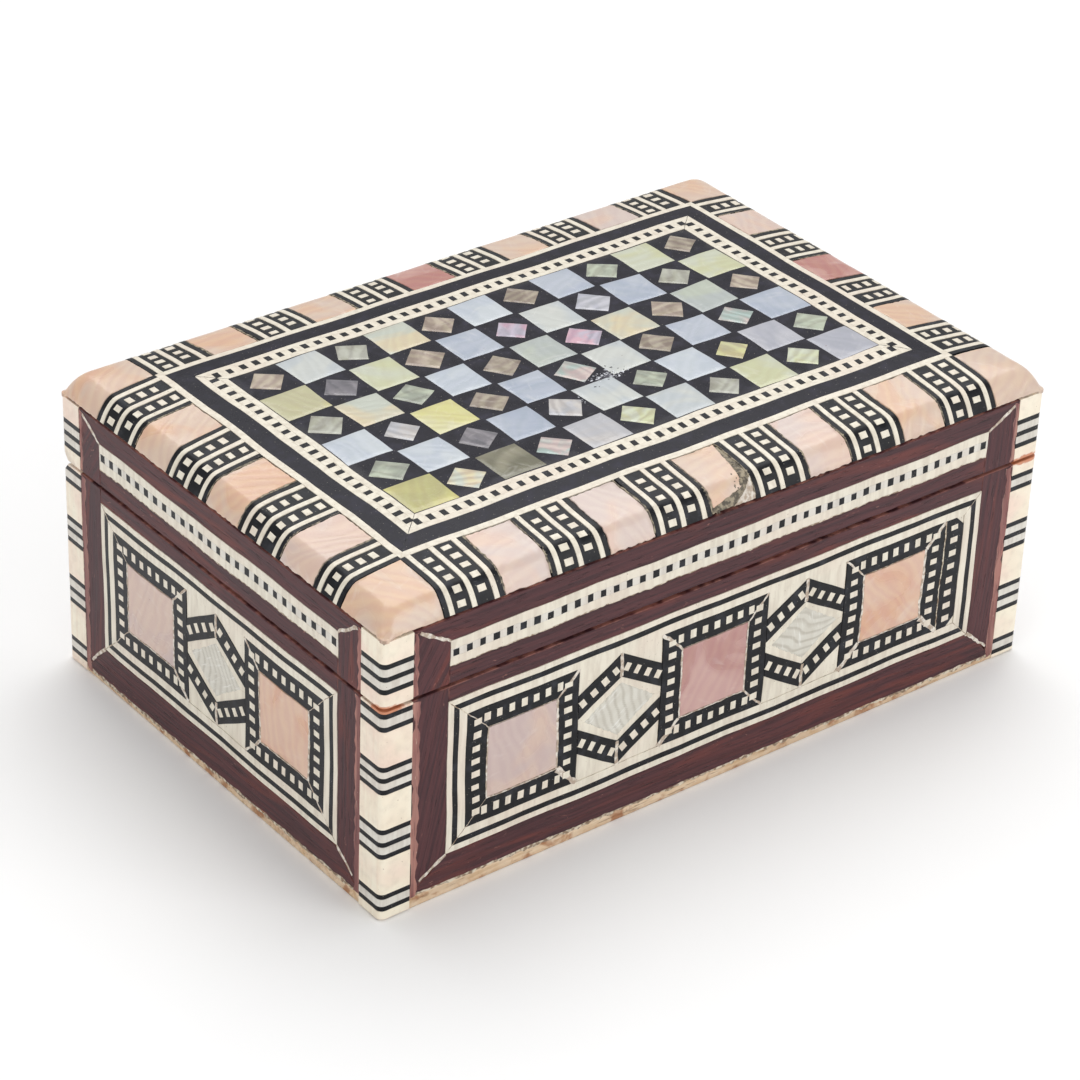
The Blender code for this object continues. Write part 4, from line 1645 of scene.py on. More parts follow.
@dataclass
class LidSide:
    """One side of the lid: mahogany frame round a bone strip with black squares.

    Attributes:
        face: the side.
        panel_inset: distance from the ends of the side to the strip.
        low: lower edge of the strip.
        high: upper edge of the strip.
        blob: middle of a lump of filler on the strip.
    """

    face: Face
    panel_inset: float
    low: float = 38.0
    high: float = 42.1
    blob: Spot | None = None

    def build(self, tools: Toolbox) -> None:
        """Lays the side out and makes its pieces.

        Args:
            tools: the shared tools.
        """
        veneer, strip = Flat(tools), Flat(tools)
        end, half = self.face.half_run - POST, self.face.half_run - self.panel_inset
        top = RIM - RIM_THICKNESS + 0.02
        for sign in (-1, 1):
            upright = [(half, LID_BOTTOM), (end, LID_BOTTOM), (end, top), (half, self.high)]
            placed = [(sign * u, v) for u, v in upright]
            veneer.tile(MAHOGANY, placed if sign > 0 else placed[::-1], VENEER, Look(turn=90))
            near, far = sorted((sign * (end - 1.0), sign * (end + 0.1)))
            mitre = (sign * (end - 1.0), top - 0.6), (sign * half, self.high)
            veneer.bead(CHALK, mitre, 0.6, 0.0, 0.4, 0.7)
            veneer.tile(WORN_WOOD, rect(near, far, LID_BOTTOM + 0.1, top - 0.2), WORN, Look(turn=90))
        veneer.tile(MAHOGANY, [(-half, self.high), (half, self.high), (end, top), (-end, top)], VENEER)
        for start, stop, low in between_hinges(self.face, (-half, half), LID_BOTTOM, SEAM + POCKET_RISE):
            veneer.tile(MAHOGANY, rect(start, stop, low, self.low), Cut(1.45, 0.12, 1.4, -0.05, 0.12))
        middle, lath = (self.low + self.high) / 2, LID_PIP.across / 2
        levels = (self.low, middle - lath, middle + lath, self.high)
        for low, high, finish in zip(levels, levels[1:], (BONE, GREY_BONE, BONE)):
            strip.tile(finish, rect(-half, half, low, high), Cut(1.0, 0.03, 2.5, -0.01))
        row = (0.9 - half, middle), (half - 0.9, middle)
        strip.pips(BLACK, [row], LID_PIP, 31 + list(Face).index(self.face))
        strip.bead(FILLER, ((-half, self.low), (half, self.low)), 0.2, 0.0, 0.8)
        if self.blob is not None:
            strip.lumps(FILLER, self.blob, (1.6, 1.5), 26, (0.4, 1.1), 5)
        side = self.face.value
        trimmed = 1 if self.face is Face.BACK else 0
        veneer.make(f"lid_{side}", self.face, "lid", {MAHOGANY: (f"lid_veneer_{side}",)}, trimmed)
        strip.make(f"lid_{side}_strip", self.face, "lid", {BONE: (f"lid_dotted_strip_{side}",)}, trimmed)

# Corner posts


class Corner(Enum):
    """The four corners, with the signs of their X and Y."""

    FRONT_LEFT = (-1, -1)
    FRONT_RIGHT = (1, -1)
    BACK_LEFT = (-1, 1)
    BACK_RIGHT = (1, 1)

    @property
    def label(self) -> str:
        """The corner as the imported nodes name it."""
        return self.name.lower()


@dataclass
class CornerPost:
    """A bone post at one corner, with black lines that run round it.

    Attributes:
        corner: where it stands.
        body: the body that it belongs to.
        low: its lower end.
        high: its upper end.
        bands: the middles of the black lines, band by band from below.
        line: thickness of a black line.
        chamfer: the worn edge of a slice.
    """

    corner: Corner
    body: str
    low: float
    high: float
    bands: tuple[tuple[float, ...], ...]
    line: float = 0.8
    chamfer: float = 0.04

    def outline(self, inset: float) -> list[Spot]:
        """The post's outline: rounded outside, and let in behind the veneer inside.

        Args:
            inset: how far it lies below the post's face.

        Returns:
            The corners, anticlockwise.
        """
        centre, radius = POST_ROUNDING, POST_ROUNDING - inset
        angles = [math.pi + math.pi / 2 * i / 6 for i in range(7)]
        arc = [(centre + radius * math.cos(a), centre + radius * math.sin(a)) for a in angles]
        inside = [(POST, inset), (POST, 1.5), (5.3, 1.5), (5.3, 5.3), (1.5, 5.3), (1.5, POST), (inset, POST)]
        sx, sy = self.corner.value
        spots = [(sx * (HALF_LENGTH - x), sy * (HALF_WIDTH - y)) for x, y in [*arc, *inside]]
        return spots if sx * sy > 0 else spots[::-1]

    def slices(self) -> list[tuple[float, float, Finish]]:
        """The stack of slices: lower end, upper end and finish."""
        marks = []
        edge, grey = self.low, CREAM
        for band in self.bands:
            for index, middle in enumerate(sorted(band)):
                low, high = middle - self.line / 2, middle + self.line / 2
                if low > edge:
                    marks.append((edge, low, CREAM if index == 0 else grey))
                marks.append((max(low, edge), min(high, self.high), BLACK))
                edge, grey = high, GREY_BONE
        if edge < self.high:
            marks.append((edge, self.high, CREAM))
        return marks

    def add_slice(self, pieces: Pieces, low: float, high: float, sunk: float) -> None:
        """Adds one slice with a small chamfer at both ends.

        Args:
            pieces: where it goes.
            low: its lower end.
            high: its upper end.
            sunk: how far it lies below the post's face.
        """
        levels = [(low, sunk + self.chamfer), (low + self.chamfer, sunk)]
        levels += [(high - self.chamfer, sunk), (high, sunk + self.chamfer)]
        loops = [[(x, y, z) for x, y in self.outline(inset)] for z, inset in levels]
        points = np.array([point for loop in loops for point in loop])
        edge = np.repeat([1.0, 0.2, 0.2, 1.0], len(loops[0]))
        pieces.add(points, stacked(len(loops), len(loops[0])), {"edge": edge})

    def build(self) -> None:
        """Makes the post's pieces, one object for each finish."""
        stacks: dict[Finish, Pieces] = {}
        for low, high, finish in self.slices():
            self.add_slice(stacks.setdefault(finish, Pieces()), low, high, 0.03 if finish is BLACK else 0.0)
        node = f"{self.body}_post_{self.corner.label}"
        for finish, pieces in stacks.items():
            mesh = pieces.mesh(f"{node}_{finish.name}", standing)
            if self.corner.value[1] > 0:
                trim_back(mesh, 1 if self.body == "lid" else -1)
            settle(f"{node}_{finish.name}", mesh, finish, self.body, (node,) if finish is CREAM else ())


# Top of the lid


@dataclass
class LidTop:
    """The lid's top: rolled border, frames, and the checkered field.

    Attributes:
        line: width of one thin line of a bundle.
        ladder: width of one dotted strip of a bundle.
        bone_line: width of the thin line inside the border.
        dark_band: width of the dark band.
        dotted_rows: widths of the plain, dotted and plain rows of the frame.
        bundle_pip: the squares of the bundles.
        frame_pip: the squares of the frame.
        large_tile: size of an upright square of the field.
        small_tile: size of a turned one.
        chart: tints of the field, row by row from the back.
    """

    line: float = 0.85
    ladder: float = 2.87
    bone_line: float = 1.1
    dark_band: float = 3.0
    dotted_rows: tuple[float, float, float] = (1.0, 1.5, 1.0)
    bundle_pip: Pip = Pip(2.1, 1.4, 1.0, 0.07)
    frame_pip: Pip = Pip(2.17, 1.48, 1.08, 0.05)
    large_tile: float = 7.2
    small_tile: float = 4.55
    chart: tuple[str, ...] = (
        "TWOCTSBGNEB",
        "AKETGRWLGOE",
        "OCNSBMRCTMT",
        "SPYBGIWBGIG",
        "NSKGPWNSALN",
        "DCXIPEWOEEL",
    )

    def build(self, tools: Toolbox) -> None:
        """Lays the top out and makes its pieces.

        Args:
            tools: the shared tools.
        """
        border, frames, checker = Flat(tools), Flat(tools), Flat(tools)
        self.lay_border(border)
        inner = self.lay_frames(frames)
        self.lay_field(checker, inner)
        runs = tuple(f"lid_border_{side}" for side in ("front", "back", "left", "right"))
        blocks = tuple(f"lid_corner_{corner.label}" for corner in Corner)
        border.make("lid_border", Face.ROLL, "lid", {PEARL: runs + blocks})
        names = {BONE: ("lid_bone_line", "lid_dotted_frame"), RESIN: ("lid_dark_band",)}
        frames.make("lid_frames", Face.TOP, "lid", names)
        checker.make("lid_field", Face.TOP, "lid", {RESIN: ("lid_checker_field",)})

    def lay_border(self, flat: Flat) -> None:
        """Four runs of bundles and pearl blocks, and four corner blocks.

        Args:
            flat: the layout.
        """
        edge = 0.6  # the bed stops short of the rim
        long, short = HALF_LENGTH + BORDER_SLACK - edge, HALF_WIDTH + BORDER_SLACK - edge
        bed = rect(-long, long, -short, short)
        for strip in mitred(bed, shrunk(bed, BORDER + BORDER_SLACK - edge)):
            flat.tile(MASTIC, strip, Cut(0.5, 0.02, 0.6, -0.24))
        blush, peach, apricot = Tone.BLUSH, Tone.PEACH, Tone.APRICOT
        runs = {
            Face.FRONT: ("B*B*B*B*B*B", (blush, blush, peach, blush, peach)),
            Face.BACK: ("B*B*B*B*B*B", (blush, peach, Tone.RED_SHELL, peach, apricot)),
            Face.LEFT: ("B*B*B*S", (apricot, apricot, blush)),
            Face.RIGHT: ("B*B*B*S", (peach, Tone.RED_SHELL, blush)),
        }
        guides: list[Stretch] = []
        for face, (pattern, tones) in runs.items():
            guides += self.lay_run(flat, face, pattern, list(tones), 3 if face is Face.FRONT else 0)
        flat.pips(BONE, guides, self.bundle_pip, 71, -0.015)
        corner_tones = (peach, peach, apricot, peach)
        for corner, tone in zip(Corner, corner_tones):
            self.lay_corner(flat, corner, tone)

    def lay_run(self, flat: Flat, face: Face, pattern: str, tones: list[Tone], broken: int) -> list[Stretch]:
        """One run of the border, left to right seen from outside.

        Args:
            flat: the layout.
            face: the side that it runs along.
            pattern: B for a double bundle, S for a single one and * for a pearl block.
            tones: the tints of its pearl blocks.
            broken: which block has lost a corner, counted from the last as 1; 0 for none.

        Returns:
            Its dotted rows.
        """
        chance = flat.tools.chance
        half, end = face.half_run - BORDER, BORDER + BORDER_SLACK
        double, single = 5 * self.line + 2 * self.ladder, 4 * self.line + self.ladder
        fixed = pattern.count("B") * double + pattern.count("S") * single
        pearl = (2 * half - fixed) / pattern.count("*")
        rows: list[Stretch] = []
        edge = -half
        for mark in pattern:
            if mark == "*":
                gap = 0.08  # joint round a pearl block
                spots = rect(edge + gap, edge + pearl - gap, 0.0, end - gap)
                if len(tones) == broken:
                    spots[:3] = (edge + 0.4, 0.9), (edge + pearl - 1.8, 2.3), (edge + pearl - 0.3, end - gap)
                    self.mend(flat, face, (edge, edge + pearl))
                for side in (edge, edge + pearl):
                    if chance.random() < 0.6:
                        seam = tuple(self.turned(face, [(side, 0.6), (side, end)]))
                        flat.bead(OLD_GLUE, seam, 0.3, 0.0, 0.9)
                look = Look(tones.pop(0), chance.uniform(20, 160), ripple(0.03, chance.uniform(0, 6)))
                flat.tile(PEARL, self.turned(face, spots), Cut(0.45, 0.12, 0.6, -0.005, 0.16), look)
                edge += pearl
                continue
            lean = chance.uniform(-0.35, 0.35)
            widths = "bwlwlwb" if mark == "B" else "bwlwb"
            for index, letter in enumerate(widths):
                wide = self.ladder if letter == "l" else self.line
                spots = [(edge, 0.03), (edge + wide, 0.03), (edge + wide + lean, end), (edge + lean, end)]
                finish = BONE if letter == "w" else BLACK
                cut = Cut(0.4, 0.05, 0.55, -0.1 if letter == "l" else -0.005)
                flat.tile(finish, self.turned(face, spots), cut)
                if letter == "l":
                    first, last = (1.1, 9.55) if index < 3 else (2.15, 10.6)
                    middle = edge + wide / 2
                    ends = [(middle + lean * s / end, s) for s in (first, last)]
                    rows.append(tuple(self.turned(face, ends)))
                edge += wide
        return rows

    def mend(self, flat: Flat, face: Face, ends: Spot) -> None:
        """Fills the gap beside a broken pearl block with dirty glue and a lump of filler.

        Args:
            flat: the layout.
            face: the side.
            ends: where the block starts and ends.
        """
        start, stop = ends
        flat.tile(OLD_GLUE, self.turned(face, rect(start, stop, 0.2, 11.0)), Cut(0.3, 0.05, 0.45, -0.11, 0.1))
        lump = [(stop - 4.2, 0.1), (stop + 0.1, 0.1), (stop + 0.1, 3.6), (stop - 1.3, 1.9)]
        flat.tile(CHALK, self.turned(face, lump), Cut(0.3, 0.12, 0.35, -0.01, 0.25))
        for u, s in ((stop - 2.2, 3.0), (start + 1.2, 0.7), (stop - 0.6, 6.0)):
            flat.lumps(OLD_GLUE, self.turned(face, [(u, s)])[0], (1.4, 1.6), 14, (0.25, 0.6), round(10 * s))

    def turned(self, face: Face, spots: list[Spot]) -> list[Spot]:
        """Places (along a side, in from its rim over the rounding) as places on the unrolled top.

        Args:
            face: the side.
            spots: the places.

        Returns:
            The places on the top.
        """
        long, short = HALF_LENGTH + BORDER_SLACK, HALF_WIDTH + BORDER_SLACK
        ways = {
            Face.FRONT: lambda u, s: (u, s - short),
            Face.BACK: lambda u, s: (-u, short - s),
            Face.LEFT: lambda u, s: (s - long, -u),
            Face.RIGHT: lambda u, s: (long - s, u),
        }
        return [ways[face](u, s) for u, s in spots]

    def lay_corner(self, flat: Flat, corner: Corner, tone: Tone) -> None:
        """A pearl block, its outer corner rounded like the post below it.

        Args:
            flat: the layout.
            corner: which corner.
            tone: its tint.
        """
        sx, sy = corner.value
        long, short = HALF_LENGTH + BORDER_SLACK, HALF_WIDTH + BORDER_SLACK
        end = BORDER + BORDER_SLACK - 0.1
        spots = [(sx * (long - x), sy * (short - y)) for x, y in ((0, 0), (end, 0), (end, end), (0, end))]
        placed = spots if sx * sy > 0 else [spots[0], spots[3], spots[2], spots[1]]
        pieces = flat.of(PEARL)
        look = Look(tone, 35.0, ripple(0.03, 2.0 * sx + sy))
        flat.tile(PEARL, placed, Cut(0.45, 0.12, 0.5, -0.005, 0.06), look)
        block, radius = pieces.points[-1], POST_ROUNDING + 0.6
        over = np.abs(block[:, :2]) - [long - radius, short - radius]
        inside = (over > 0).all(axis=1)
        reach = np.maximum(np.linalg.norm(over[inside], axis=1), 1e-6)
        over[inside] *= (over[inside].max(axis=1) / reach)[:, None]
        block[inside, :2] = np.sign(block[inside, :2]) * (over[inside] + [long - radius, short - radius])

    def lay_frames(self, flat: Flat) -> list[Spot]:
        """The bone line, the dark band and the dotted frame.

        Args:
            flat: the layout.

        Returns:
            The rectangle of the field.
        """
        outer = rect(BORDER - HALF_LENGTH, HALF_LENGTH - BORDER, BORDER - HALF_WIDTH, HALF_WIDTH - BORDER)
        line = flat.frame(BONE, outer, self.bone_line, LINE)
        inner = flat.frame(RESIN, line, self.dark_band, Cut(0.5, 0.04, 2.5, -0.03))
        for start, end in zip(line, inner):
            flat.bead(BLACK, (start, end), 0.16, -0.02, 0.4)
        for width in self.dotted_rows:
            start = inner
            inner = flat.frame(BONE, inner, width, LINE)
            if width == self.dotted_rows[1]:
                rows = shrunk(start, width / 2)
        guides = []
        for index in range(4):
            (a0, b0), (a1, b1) = rows[index], rows[(index + 1) % 4]
            length = math.hypot(a1 - a0, b1 - b0)
            du, dv = (a1 - a0) / length, (b1 - b0) / length
            guides.append(((a0 + du, b0 + dv), (a1 - du, b1 - dv)))
        flat.pips(BLACK, guides, self.frame_pip, 83, -0.005)
        for start, end in zip(shrunk(inner, -sum(self.dotted_rows)), inner):
            flat.bead(MASTIC, (start, end), 0.14, -0.01, 0.5)
        return inner

    def lay_field(self, flat: Flat, corners: list[Spot]) -> None:
        """Dark resin with large upright squares and small turned ones, row by row from the back.

        Args:
            flat: the layout.
            corners: the rectangle of the field.
        """
        chance = flat.tools.chance
        (u0, v0), (u1, v1) = corners[0], corners[2]
        look = Look(relief=ripple(0.015, 1.0))
        flat.tile(RESIN, corners, Cut(0.8, 0.03, 1.6, -0.045), look)
        pitch_u, pitch_v = (u1 - u0) / len(self.chart[0]), (v1 - v0) / len(self.chart)
        large, small = [], []
        for row, letters in enumerate(self.chart):
            for column, letter in enumerate(letters):
                u = u0 + (column + 0.5) * pitch_u
                v = v1 - (row + 0.5) * pitch_v
                spot = {**FIELD_KEY[letter].tints, "lay": chance.uniform(0, 6.2)}
                if (row + column) % 2:
                    side = self.large_tile * chance.uniform(0.97, 1.03)
                    wide = side + (0.45 if column in (0, len(letters) - 1) else 0.0)
                    u += chance.uniform(-0.12, 0.12)
                    v += chance.uniform(-0.1, 0.1)
                    limit = (u1 - wide / 2 - 0.15, v1 - side / 2 - 0.12)
                    u, v = np.clip((u, v), np.negative(limit), limit).tolist()
                    turn = chance.normal(0, 0.018)
                    large.append({**spot, "at": (u, v, -0.006), "turn": turn, "size": (wide, side, 1.0)})
                else:
                    side = self.small_tile * chance.uniform(0.94, 1.06)
                    tall = side * chance.uniform(0.95, 1.08)
                    turn = math.pi / 4 + chance.normal(0, 0.1)
                    u += chance.uniform(-0.25, 0.25)
                    v += chance.uniform(-0.2, 0.2)
                    small.append({**spot, "at": (u, v, -0.012), "turn": turn, "size": (side, tall, 1.0)})
        for finish, spots, seed, chamfer in ((SHELL, large, 91, 0.014), (FIRE_SHELL, small, 92, 0.022)):
            blank = Flat(flat.tools)
            blank.tile(SHELL, rect(-0.5, 0.5, -0.5, 0.5), Cut(0.35, chamfer, 0.14, 0.0), PLAIN)
            template = self.template(blank.of(SHELL), chamfer)
            flat.of(finish).add(*flat.tools.set_copies(template, spots, (0.012, 0.01), seed))
        # Grit crumbs painted near-white as a highlight, with dark resin crumbs among them.
        flat.lumps(PAINTED_GLINT_GRIT, (3.4, -7.0), (3.4, 1.5), 110, (0.2, 0.65), 7)
        flat.lumps(RESIN, (3.6, -6.8), (3.4, 1.8), 60, (0.3, 0.8), 8)
        # More grit crumbs painted near-white as a highlight.
        flat.lumps(PAINTED_GLINT_GRIT, (-4.0, -11.5), (1.6, 1.2), 12, (0.15, 0.4), 9)

    def template(self, pieces: Pieces, chamfer: float) -> Mesh:
        """A tile one millimetre square, its face a little hollow and its edge worn.

        Args:
            pieces: holds the plain tile.
            chamfer: its worn edge.

        Returns:
            The tile.
        """
        points = pieces.points[0]
        points[:, 2] = np.where(points[:, 2] > -0.1, np.maximum(points[:, 2], -chamfer) * 3.0, points[:, 2])
        inside = points[:, 2] > -1e-9
        points[inside, 2] -= 0.012 * (1 + np.sin(5 * points[inside, 0] + 1) * np.sin(6 * points[inside, 1]))
        made = bpy.data.meshes.new("tile")
        made.from_pydata(points.tolist(), [], pieces.faces)
        store(made, "edge", np.concatenate(pieces.carried["edge"]))
        return made


# Carcass, lining and hinges


@dataclass(frozen=True)
class Refined:
    """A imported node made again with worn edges.

    Attributes:
        node: the node.
        finish: its finish.
        wear: width of the worn edges.
        squeeze: how much smaller it is, as a share of its size in X and Y.
    """

    node: str
    finish: Finish
    wear: float = 0.25
    squeeze: Spot = (1.0, 1.0)

    def build(self, body: str) -> bpy.types.Object:
        """Merges a copy of the node, wears its edges and marks them.

        Args:
            body: the body that it rides on.

        Returns:
            The finished object.
        """
        shape = bmesh.new()
        shape.from_mesh(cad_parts[self.node].data)
        bmesh.ops.remove_doubles(shape, verts=shape.verts, dist=2e-6)
        for vert in shape.verts:
            vert.co.x *= self.squeeze[0]
            vert.co.y *= self.squeeze[1]
        bmesh.ops.dissolve_limit(shape, angle_limit=math.radians(2), verts=shape.verts, edges=shape.edges)
        closed = [edge for edge in shape.edges if edge.is_manifold]
        sharp = [edge for edge in closed if edge.calc_face_angle() > math.radians(25)]
        shared = {"segments": 2, "profile": 0.6, "affect": "EDGES", "clamp_overlap": True}
        bmesh.ops.bevel(shape, geom=sharp, offset=self.wear * MM, **shared)
        bmesh.ops.triangulate(shape, faces=[face for face in shape.faces if len(face.verts) > 4])
        mesh = bpy.data.meshes.new(f"{self.node}_worn")
        shape.to_mesh(mesh)
        shape.free()
        mesh.shade_smooth()
        mesh.set_sharp_from_angle(angle=math.radians(40))
        store(mesh, "edge", np.full(len(mesh.vertices), 0.4))
        return settle(f"{self.node}_worn", mesh, self.finish, body, (self.node,))


class Carcass:
    """The wooden box under the inlay: floor board, walls, rails and lid board."""

    def build(self) -> None:
        """Makes each board."""
        Refined("base_floor", RAW_WOOD, 0.35, (0.9968, 0.9955)).build("base")
        for side in ("front", "back", "left", "right"):
            finish = WOOD_ALONG if side in ("front", "back") else WOOD_ACROSS
            Refined(f"base_wall_{side}", finish).build("base")
            Refined(f"lid_rail_{side}", finish).build("lid")
        Refined("lid_board", WOOD_ALONG).build("lid")


@dataclass
class Lining:
    """A velvet lining, glued in, with soft corners.

    Attributes:
        node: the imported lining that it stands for.
        body: the body that it rides on.
        closed: height of its closed side.
        rim: height of its rim.
        outer_inset: distance of its outer face from the sides of the box.
        thickness: thickness of the cloth and its backing.
        fillet: rounding between its walls and its floor.
        corner: rounding of its upright corners.
        nose: rounding of its rim.
    """

    node: str
    body: str
    closed: float
    rim: float
    outer_inset: float = 5.32
    thickness: float = 0.85
    fillet: float = 1.6
    corner: float = 1.2
    nose: float = 0.4

    def loop(self, inset: float, radius: float, height: float, per_side: int = 26) -> Array:
        """A rounded rectangle at a height, always with the same number of points.

        Args:
            inset: distance from the sides of the box.
            radius: rounding of its corners.
            height: its height.
            per_side: points along a side.

        Returns:
            The points.
        """
        half_x, half_y = HALF_LENGTH - inset, HALF_WIDTH - inset
        radius = min(radius, half_x * 0.9, half_y * 0.9)
        corners = ((1, -1), (1, 1), (-1, 1), (-1, -1))
        arcs = []
        for quarter, (sx, sy) in enumerate(corners):
            angles = np.radians(90 * (quarter - 1) + np.linspace(0, 90, 7))
            arcs.append(np.stack([sx * (half_x - radius) + radius * np.cos(angles),
                                  sy * (half_y - radius) + radius * np.sin(angles)], axis=1))
        spots = []
        for arc, after in zip(arcs, arcs[1:] + arcs[:1]):
            shares = np.arange(1, per_side)[:, None] / per_side
            spots += [*arc, *(arc[-1] + (after[0] - arc[-1]) * shares)]
        return np.array([(x, y, height) for x, y in spots])

    def build(self) -> None:
        """Sweeps the rounded rectangle over the rim, down inside and across to the middle."""
        up = 1 if self.rim > self.closed else -1
        inner = self.outer_inset + self.thickness
        level = self.closed + up * self.thickness
        wall = abs(self.rim - level)
        radius, nose, middle = self.corner, self.nose, (self.outer_inset + inner) / 2
        rows = [(self.outer_inset, radius, self.closed), (self.outer_inset, radius, self.rim - up * nose)]
        for angle in math.pi * np.arange(1, 5) / 5:
            inset = middle - self.thickness / 2 * math.cos(angle)
            rows.append((inset, radius, self.rim - up * nose * (1 - math.sin(angle))))
        rows += [(inner, radius, self.rim - up * wall * share) for share in (0.1, 0.25, 0.4, 0.55, 0.7, 0.85)]
        for angle in math.pi / 2 * np.arange(6) / 5:
            inwards = self.fillet * (1 - math.cos(angle))
            height = level + up * self.fillet * (1 - math.sin(angle))
            rows.append((inner + inwards, radius + inwards, height))
        start, reach = inner + self.fillet, HALF_WIDTH - inner - self.fillet
        rows += [(start + reach * share, 3.0 + 20 * share, level) for share in np.linspace(0.06, 0.97, 15)]
        loops = np.stack([self.loop(inset, radius, height) for inset, radius, height in rows])
        self.ruffle(loops, up)
        faces = stacked(*loops.shape[:2])
        if up < 0:
            faces = [face[::-1] for face in faces]
        pieces = Pieces()
        pieces.add(loops.reshape(-1, 3), faces, {})
        mesh = pieces.mesh(self.node + "_velvet", standing)
        mesh.set_sharp_from_angle(angle=math.radians(70))
        settle(self.node + "_velvet", mesh, VELVET, self.body, (self.node,))

    def ruffle(self, loops: Array, up: int) -> None:
        """Lets the cloth swell and sink a little, more on the floor than on the walls."""
        x, y = loops[2:, :, 0], loops[2:, :, 1]
        waves = np.sin(0.21 * x + 0.1 * y) + np.sin(0.17 * y - 0.3 * x + 1) + 0.5 * np.sin(0.8 * x + 0.6 * y)
        loops[2:, :, 2] += up * 0.06 * waves


@dataclass
class Hinge:
    """One brass hinge: two leaves, a pin and four domed nails.

    Attributes:
        label: left or right.
        centre: its X.
        nail_reach: distance of its nails from its middle.
        nail_y: Y of its nails.
        nail_width: width of a nail's head.
        nail_rise: height of a nail's head.
    """

    label: str
    centre: float
    nail_reach: float = 5.4
    nail_y: float = 36.0
    nail_width: float = 0.95
    nail_rise: float = 0.19

    def build(self, tools: Toolbox) -> None:
        """Makes the leaves, the pin and the nails.

        Args:
            tools: the shared tools.
        """
        Refined(f"hinge_base_leaf_{self.label}", OLD_BRASS, 0.1).build("base")
        Refined(f"hinge_lid_leaf_{self.label}", OLD_BRASS, 0.1).build("lid")
        Refined(f"hinge_pin_{self.label}", OLD_BRASS, 0.1).build("base")
        for body, level, up in (("base", BASE_TOP, 1), ("lid", LID_BOTTOM, -1)):
            spots = []
            for sign in (-1, 1):
                at = (self.centre + sign * (self.nail_reach + (0.5 if up < 0 else 0.0)), self.nail_y, level)
                size = (self.nail_width, self.nail_width, up * self.nail_rise)
                spots.append({"at": at, "turn": 0.7 * sign, "size": size})
            points, faces, carried = tools.set_copies(self.nail(), spots, (0.6, 0.04), 40)
            if up < 0:
                faces = [face[::-1] for face in faces]
            pieces = Pieces()
            pieces.add(points, faces, carried)
            name = f"hinge_nails_{body}_{self.label}"
            settle(name, pieces.mesh(name, standing), OLD_BRASS, body)

    def nail(self) -> Mesh:
        """A domed nail head one millimetre wide and high, slightly out of round, with a short shank."""
        sides = 14
        rows = [(0.34, -2.0), (0.34, -0.2), (0.5, -0.2), (0.5, 0.2), (0.44, 0.55), (0.3, 0.85), (0.12, 1.0)]
        points = []
        for radius, height in rows:
            for i in range(sides):
                angle = 2 * math.pi * i / sides
                out = radius * (1 + 0.04 * math.sin(2 * angle + 1))
                points.append((out * math.cos(angle), out * math.sin(angle), height))
        made = bpy.data.meshes.new("nail")
        made.from_pydata(points, [], stacked(len(rows), sides))
        return made


# Studio


@dataclass
class Studio:
    """Pale floor, soft light and the camera.

    Attributes:
        azimuth: the camera's turn round the box, in degrees.
        elevation: its angle above the horizon.
        roll: its tilt to the side.
        distance: from the spot it looks at.
        target: that spot.
        lens: focal length on a 36 mm sensor.
    """

    azimuth: float = -38.752
    elevation: float = 31.61
    roll: float = 2.246
    distance: float = 560.32
    target: Colour = (-2.72, -0.72, 21.51)
    lens: float = 125.26

    def build(self) -> None:
        """Makes the floor, the lights and the camera."""
        self.lay_floor()
        self.hang_lights()
        self.set_camera()

    def lay_floor(self) -> None:
        """A wide flat floor."""
        mesh = bpy.data.meshes.new("floor")
        half = 3.0
        mesh.from_pydata([(u, v, 0.0) for u, v in rect(-half, half, -half, half)], [], [(0, 1, 2, 3)])
        mesh.materials.append(PAPER.material())
        put("pale_floor", mesh)

    def hang_lights(self) -> None:
        """A large soft light overhead, two fills, and a bright sky."""
        self.light("overhead", (0.25, 0.35, 0.95), 1.0, 7.0)
        self.light("left_fill", (-0.95, -0.35, 0.4), 0.6, 2.0)
        self.light("front_fill", (0.45, -1.0, 0.5), 0.7, 4.0)
        world = bpy.data.worlds.new("studio")
        bpy.context.scene.world = world
        world.use_nodes = True
        sky = world.node_tree.nodes["Background"]
        sky.inputs["Color"].default_value = (1.0, 1.0, 1.0, 1.0)
        sky.inputs["Strength"].default_value = 0.55
        bpy.context.scene.view_settings.view_transform = "Standard"

    def light(self, name: str, at: Colour, size: float, power: float) -> None:
        """One square soft light, aimed at the box.

        Args:
            name: its name.
            at: its place, in metres.
            size: its width, in metres.
            power: its power, in watts.
        """
        lamp = bpy.data.lights.new(name, "AREA")
        lamp.energy, lamp.size = power, size
        made = put(name, lamp)
        made.location = at
        aim = Vector((0.0, 0.0, 0.025)) - Vector(at)
        made.rotation_euler = aim.to_track_quat("-Z", "Y").to_euler()

    def set_camera(self) -> None:
        """The camera, turned, raised and rolled about its target."""
        turn, rise, roll = (math.radians(angle) for angle in (self.azimuth, self.elevation, self.roll))
        back = Vector((math.sin(turn) * math.cos(rise), -math.cos(turn) * math.cos(rise), math.sin(rise)))
        right = Vector((math.cos(turn), math.sin(turn), 0.0))
        up = back.cross(right)
        across = math.cos(roll) * right + math.sin(roll) * up
        above = math.cos(roll) * up - math.sin(roll) * right
        lens = bpy.data.cameras.new("camera")
        lens.lens, lens.sensor_width = self.lens, 36.0
        lens.clip_start, lens.clip_end = 0.01, 20.0
        camera = put("camera", lens)
        place = (Vector(self.target) + back * self.distance) * MM
        camera.matrix_world = Matrix.Translation(place) @ Matrix((across, above, back)).transposed().to_4x4()
        bpy.context.scene.camera = camera


# The whole box

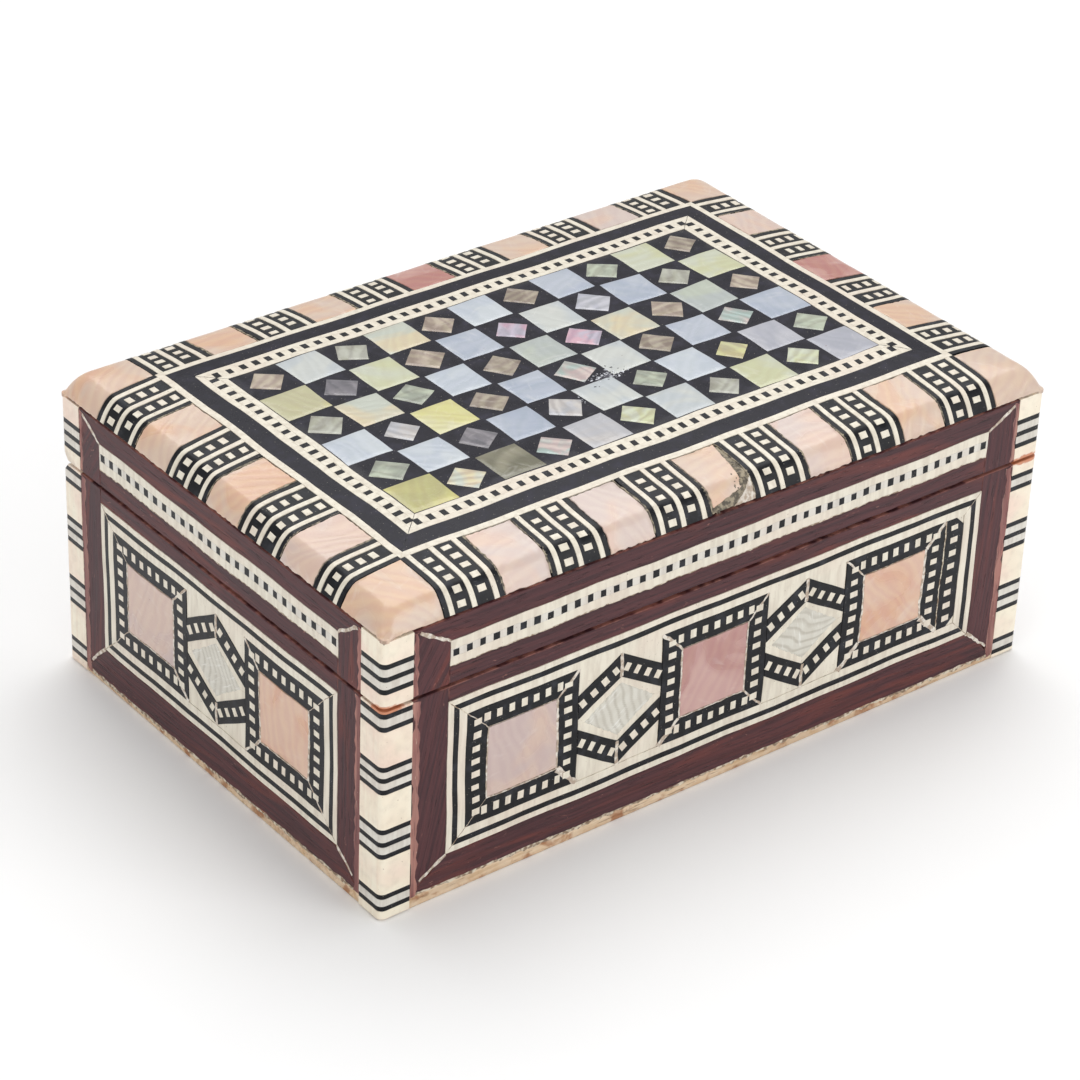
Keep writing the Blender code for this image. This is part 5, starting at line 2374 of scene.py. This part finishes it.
# From the ends of each side to its inlay.
PANEL_INSET = {Face.FRONT: 11.0, Face.BACK: 11.0, Face.LEFT: 10.4, Face.RIGHT: 10.4}
NEAR_BASE_BANDS = ((2.0, 4.0), (10.8, 12.8, 14.9), (21.5, 23.4, 25.2), (31.7, 33.8))
FAR_BASE_BANDS = ((1.2, 3.2), (8.9, 10.9, 12.9), (19.8, 21.8, 23.8), (30.2, 32.2))
LID_BANDS = ((37.7, 39.7, 41.7),)


def block(mark: Tone | Spot | None) -> PanelPart:
    """A block of a panel.

    Args:
        mark: a tone for a pearl square, (turn, swirl) for tilted ribbed shell, none for an end strip.

    Returns:
        The block.
    """
    if mark is None:
        return PanelPart(Block.LADDER)
    if isinstance(mark, Tone):
        return PanelPart(Block.SQUARE, mark)
    return PanelPart(Block.DIAMOND, turn=mark[0], swirl=mark[1])


def base_sides() -> list[BaseSide]:
    """The four sides of the base."""
    lavender, blush, salmon = Tone.LAVENDER_PINK, Tone.BLUSH, Tone.SALMON
    layouts = {
        Face.FRONT: ((lavender, (18.0, 0.25), Tone.ROSEWOOD, (78.0, 0.8), salmon, None), (2.3, 1.1)),
        Face.BACK: ((Tone.PEACH, (28.0, 0.4), blush, (-40.0, 0.5), lavender, None), (1.4, 1.6)),
        Face.LEFT: ((lavender, (15.0, 0.9), salmon), (1.0, 2.0)),
        Face.RIGHT: ((blush, (50.0, 0.5), lavender), (1.4, 1.5)),
    }
    return [
        BaseSide(face, tuple(map(block, marks)), PANEL_INSET[face], worn_low=worn)
        for face, (marks, worn) in layouts.items()
    ]


def main() -> None:
    """Builds the box's looks and the studio."""
    tools = Toolbox(PipSetter(), PieceSetter(), np.random.default_rng(20))
    Studio().build()
    for side in base_sides():
        side.build(tools)
    for face, inset in PANEL_INSET.items():
        LidSide(face, inset, blob=(26.0, 39.6) if face is Face.LEFT else None).build(tools)
    for corner in Corner:
        bands = NEAR_BASE_BANDS if corner in (Corner.FRONT_LEFT, Corner.BACK_LEFT) else FAR_BASE_BANDS
        CornerPost(corner, "base", 0.25, BASE_TOP, bands).build()
        CornerPost(corner, "lid", LID_BOTTOM, RIM - RIM_THICKNESS + 0.02, LID_BANDS).build()
    LidTop().build(tools)
    Carcass().build()
    Lining("base_lining", "base", 2.32, 33.4).build()
    Lining("lid_lining", "lid", 43.28, 36.2).build()
    Hinge("left", -HINGE_X).build(tools)
    Hinge("right", HINGE_X).build(tools)


if __name__ == "__main__":
    logging.basicConfig(level=logging.INFO, format="%(message)s")
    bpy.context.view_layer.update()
    main()
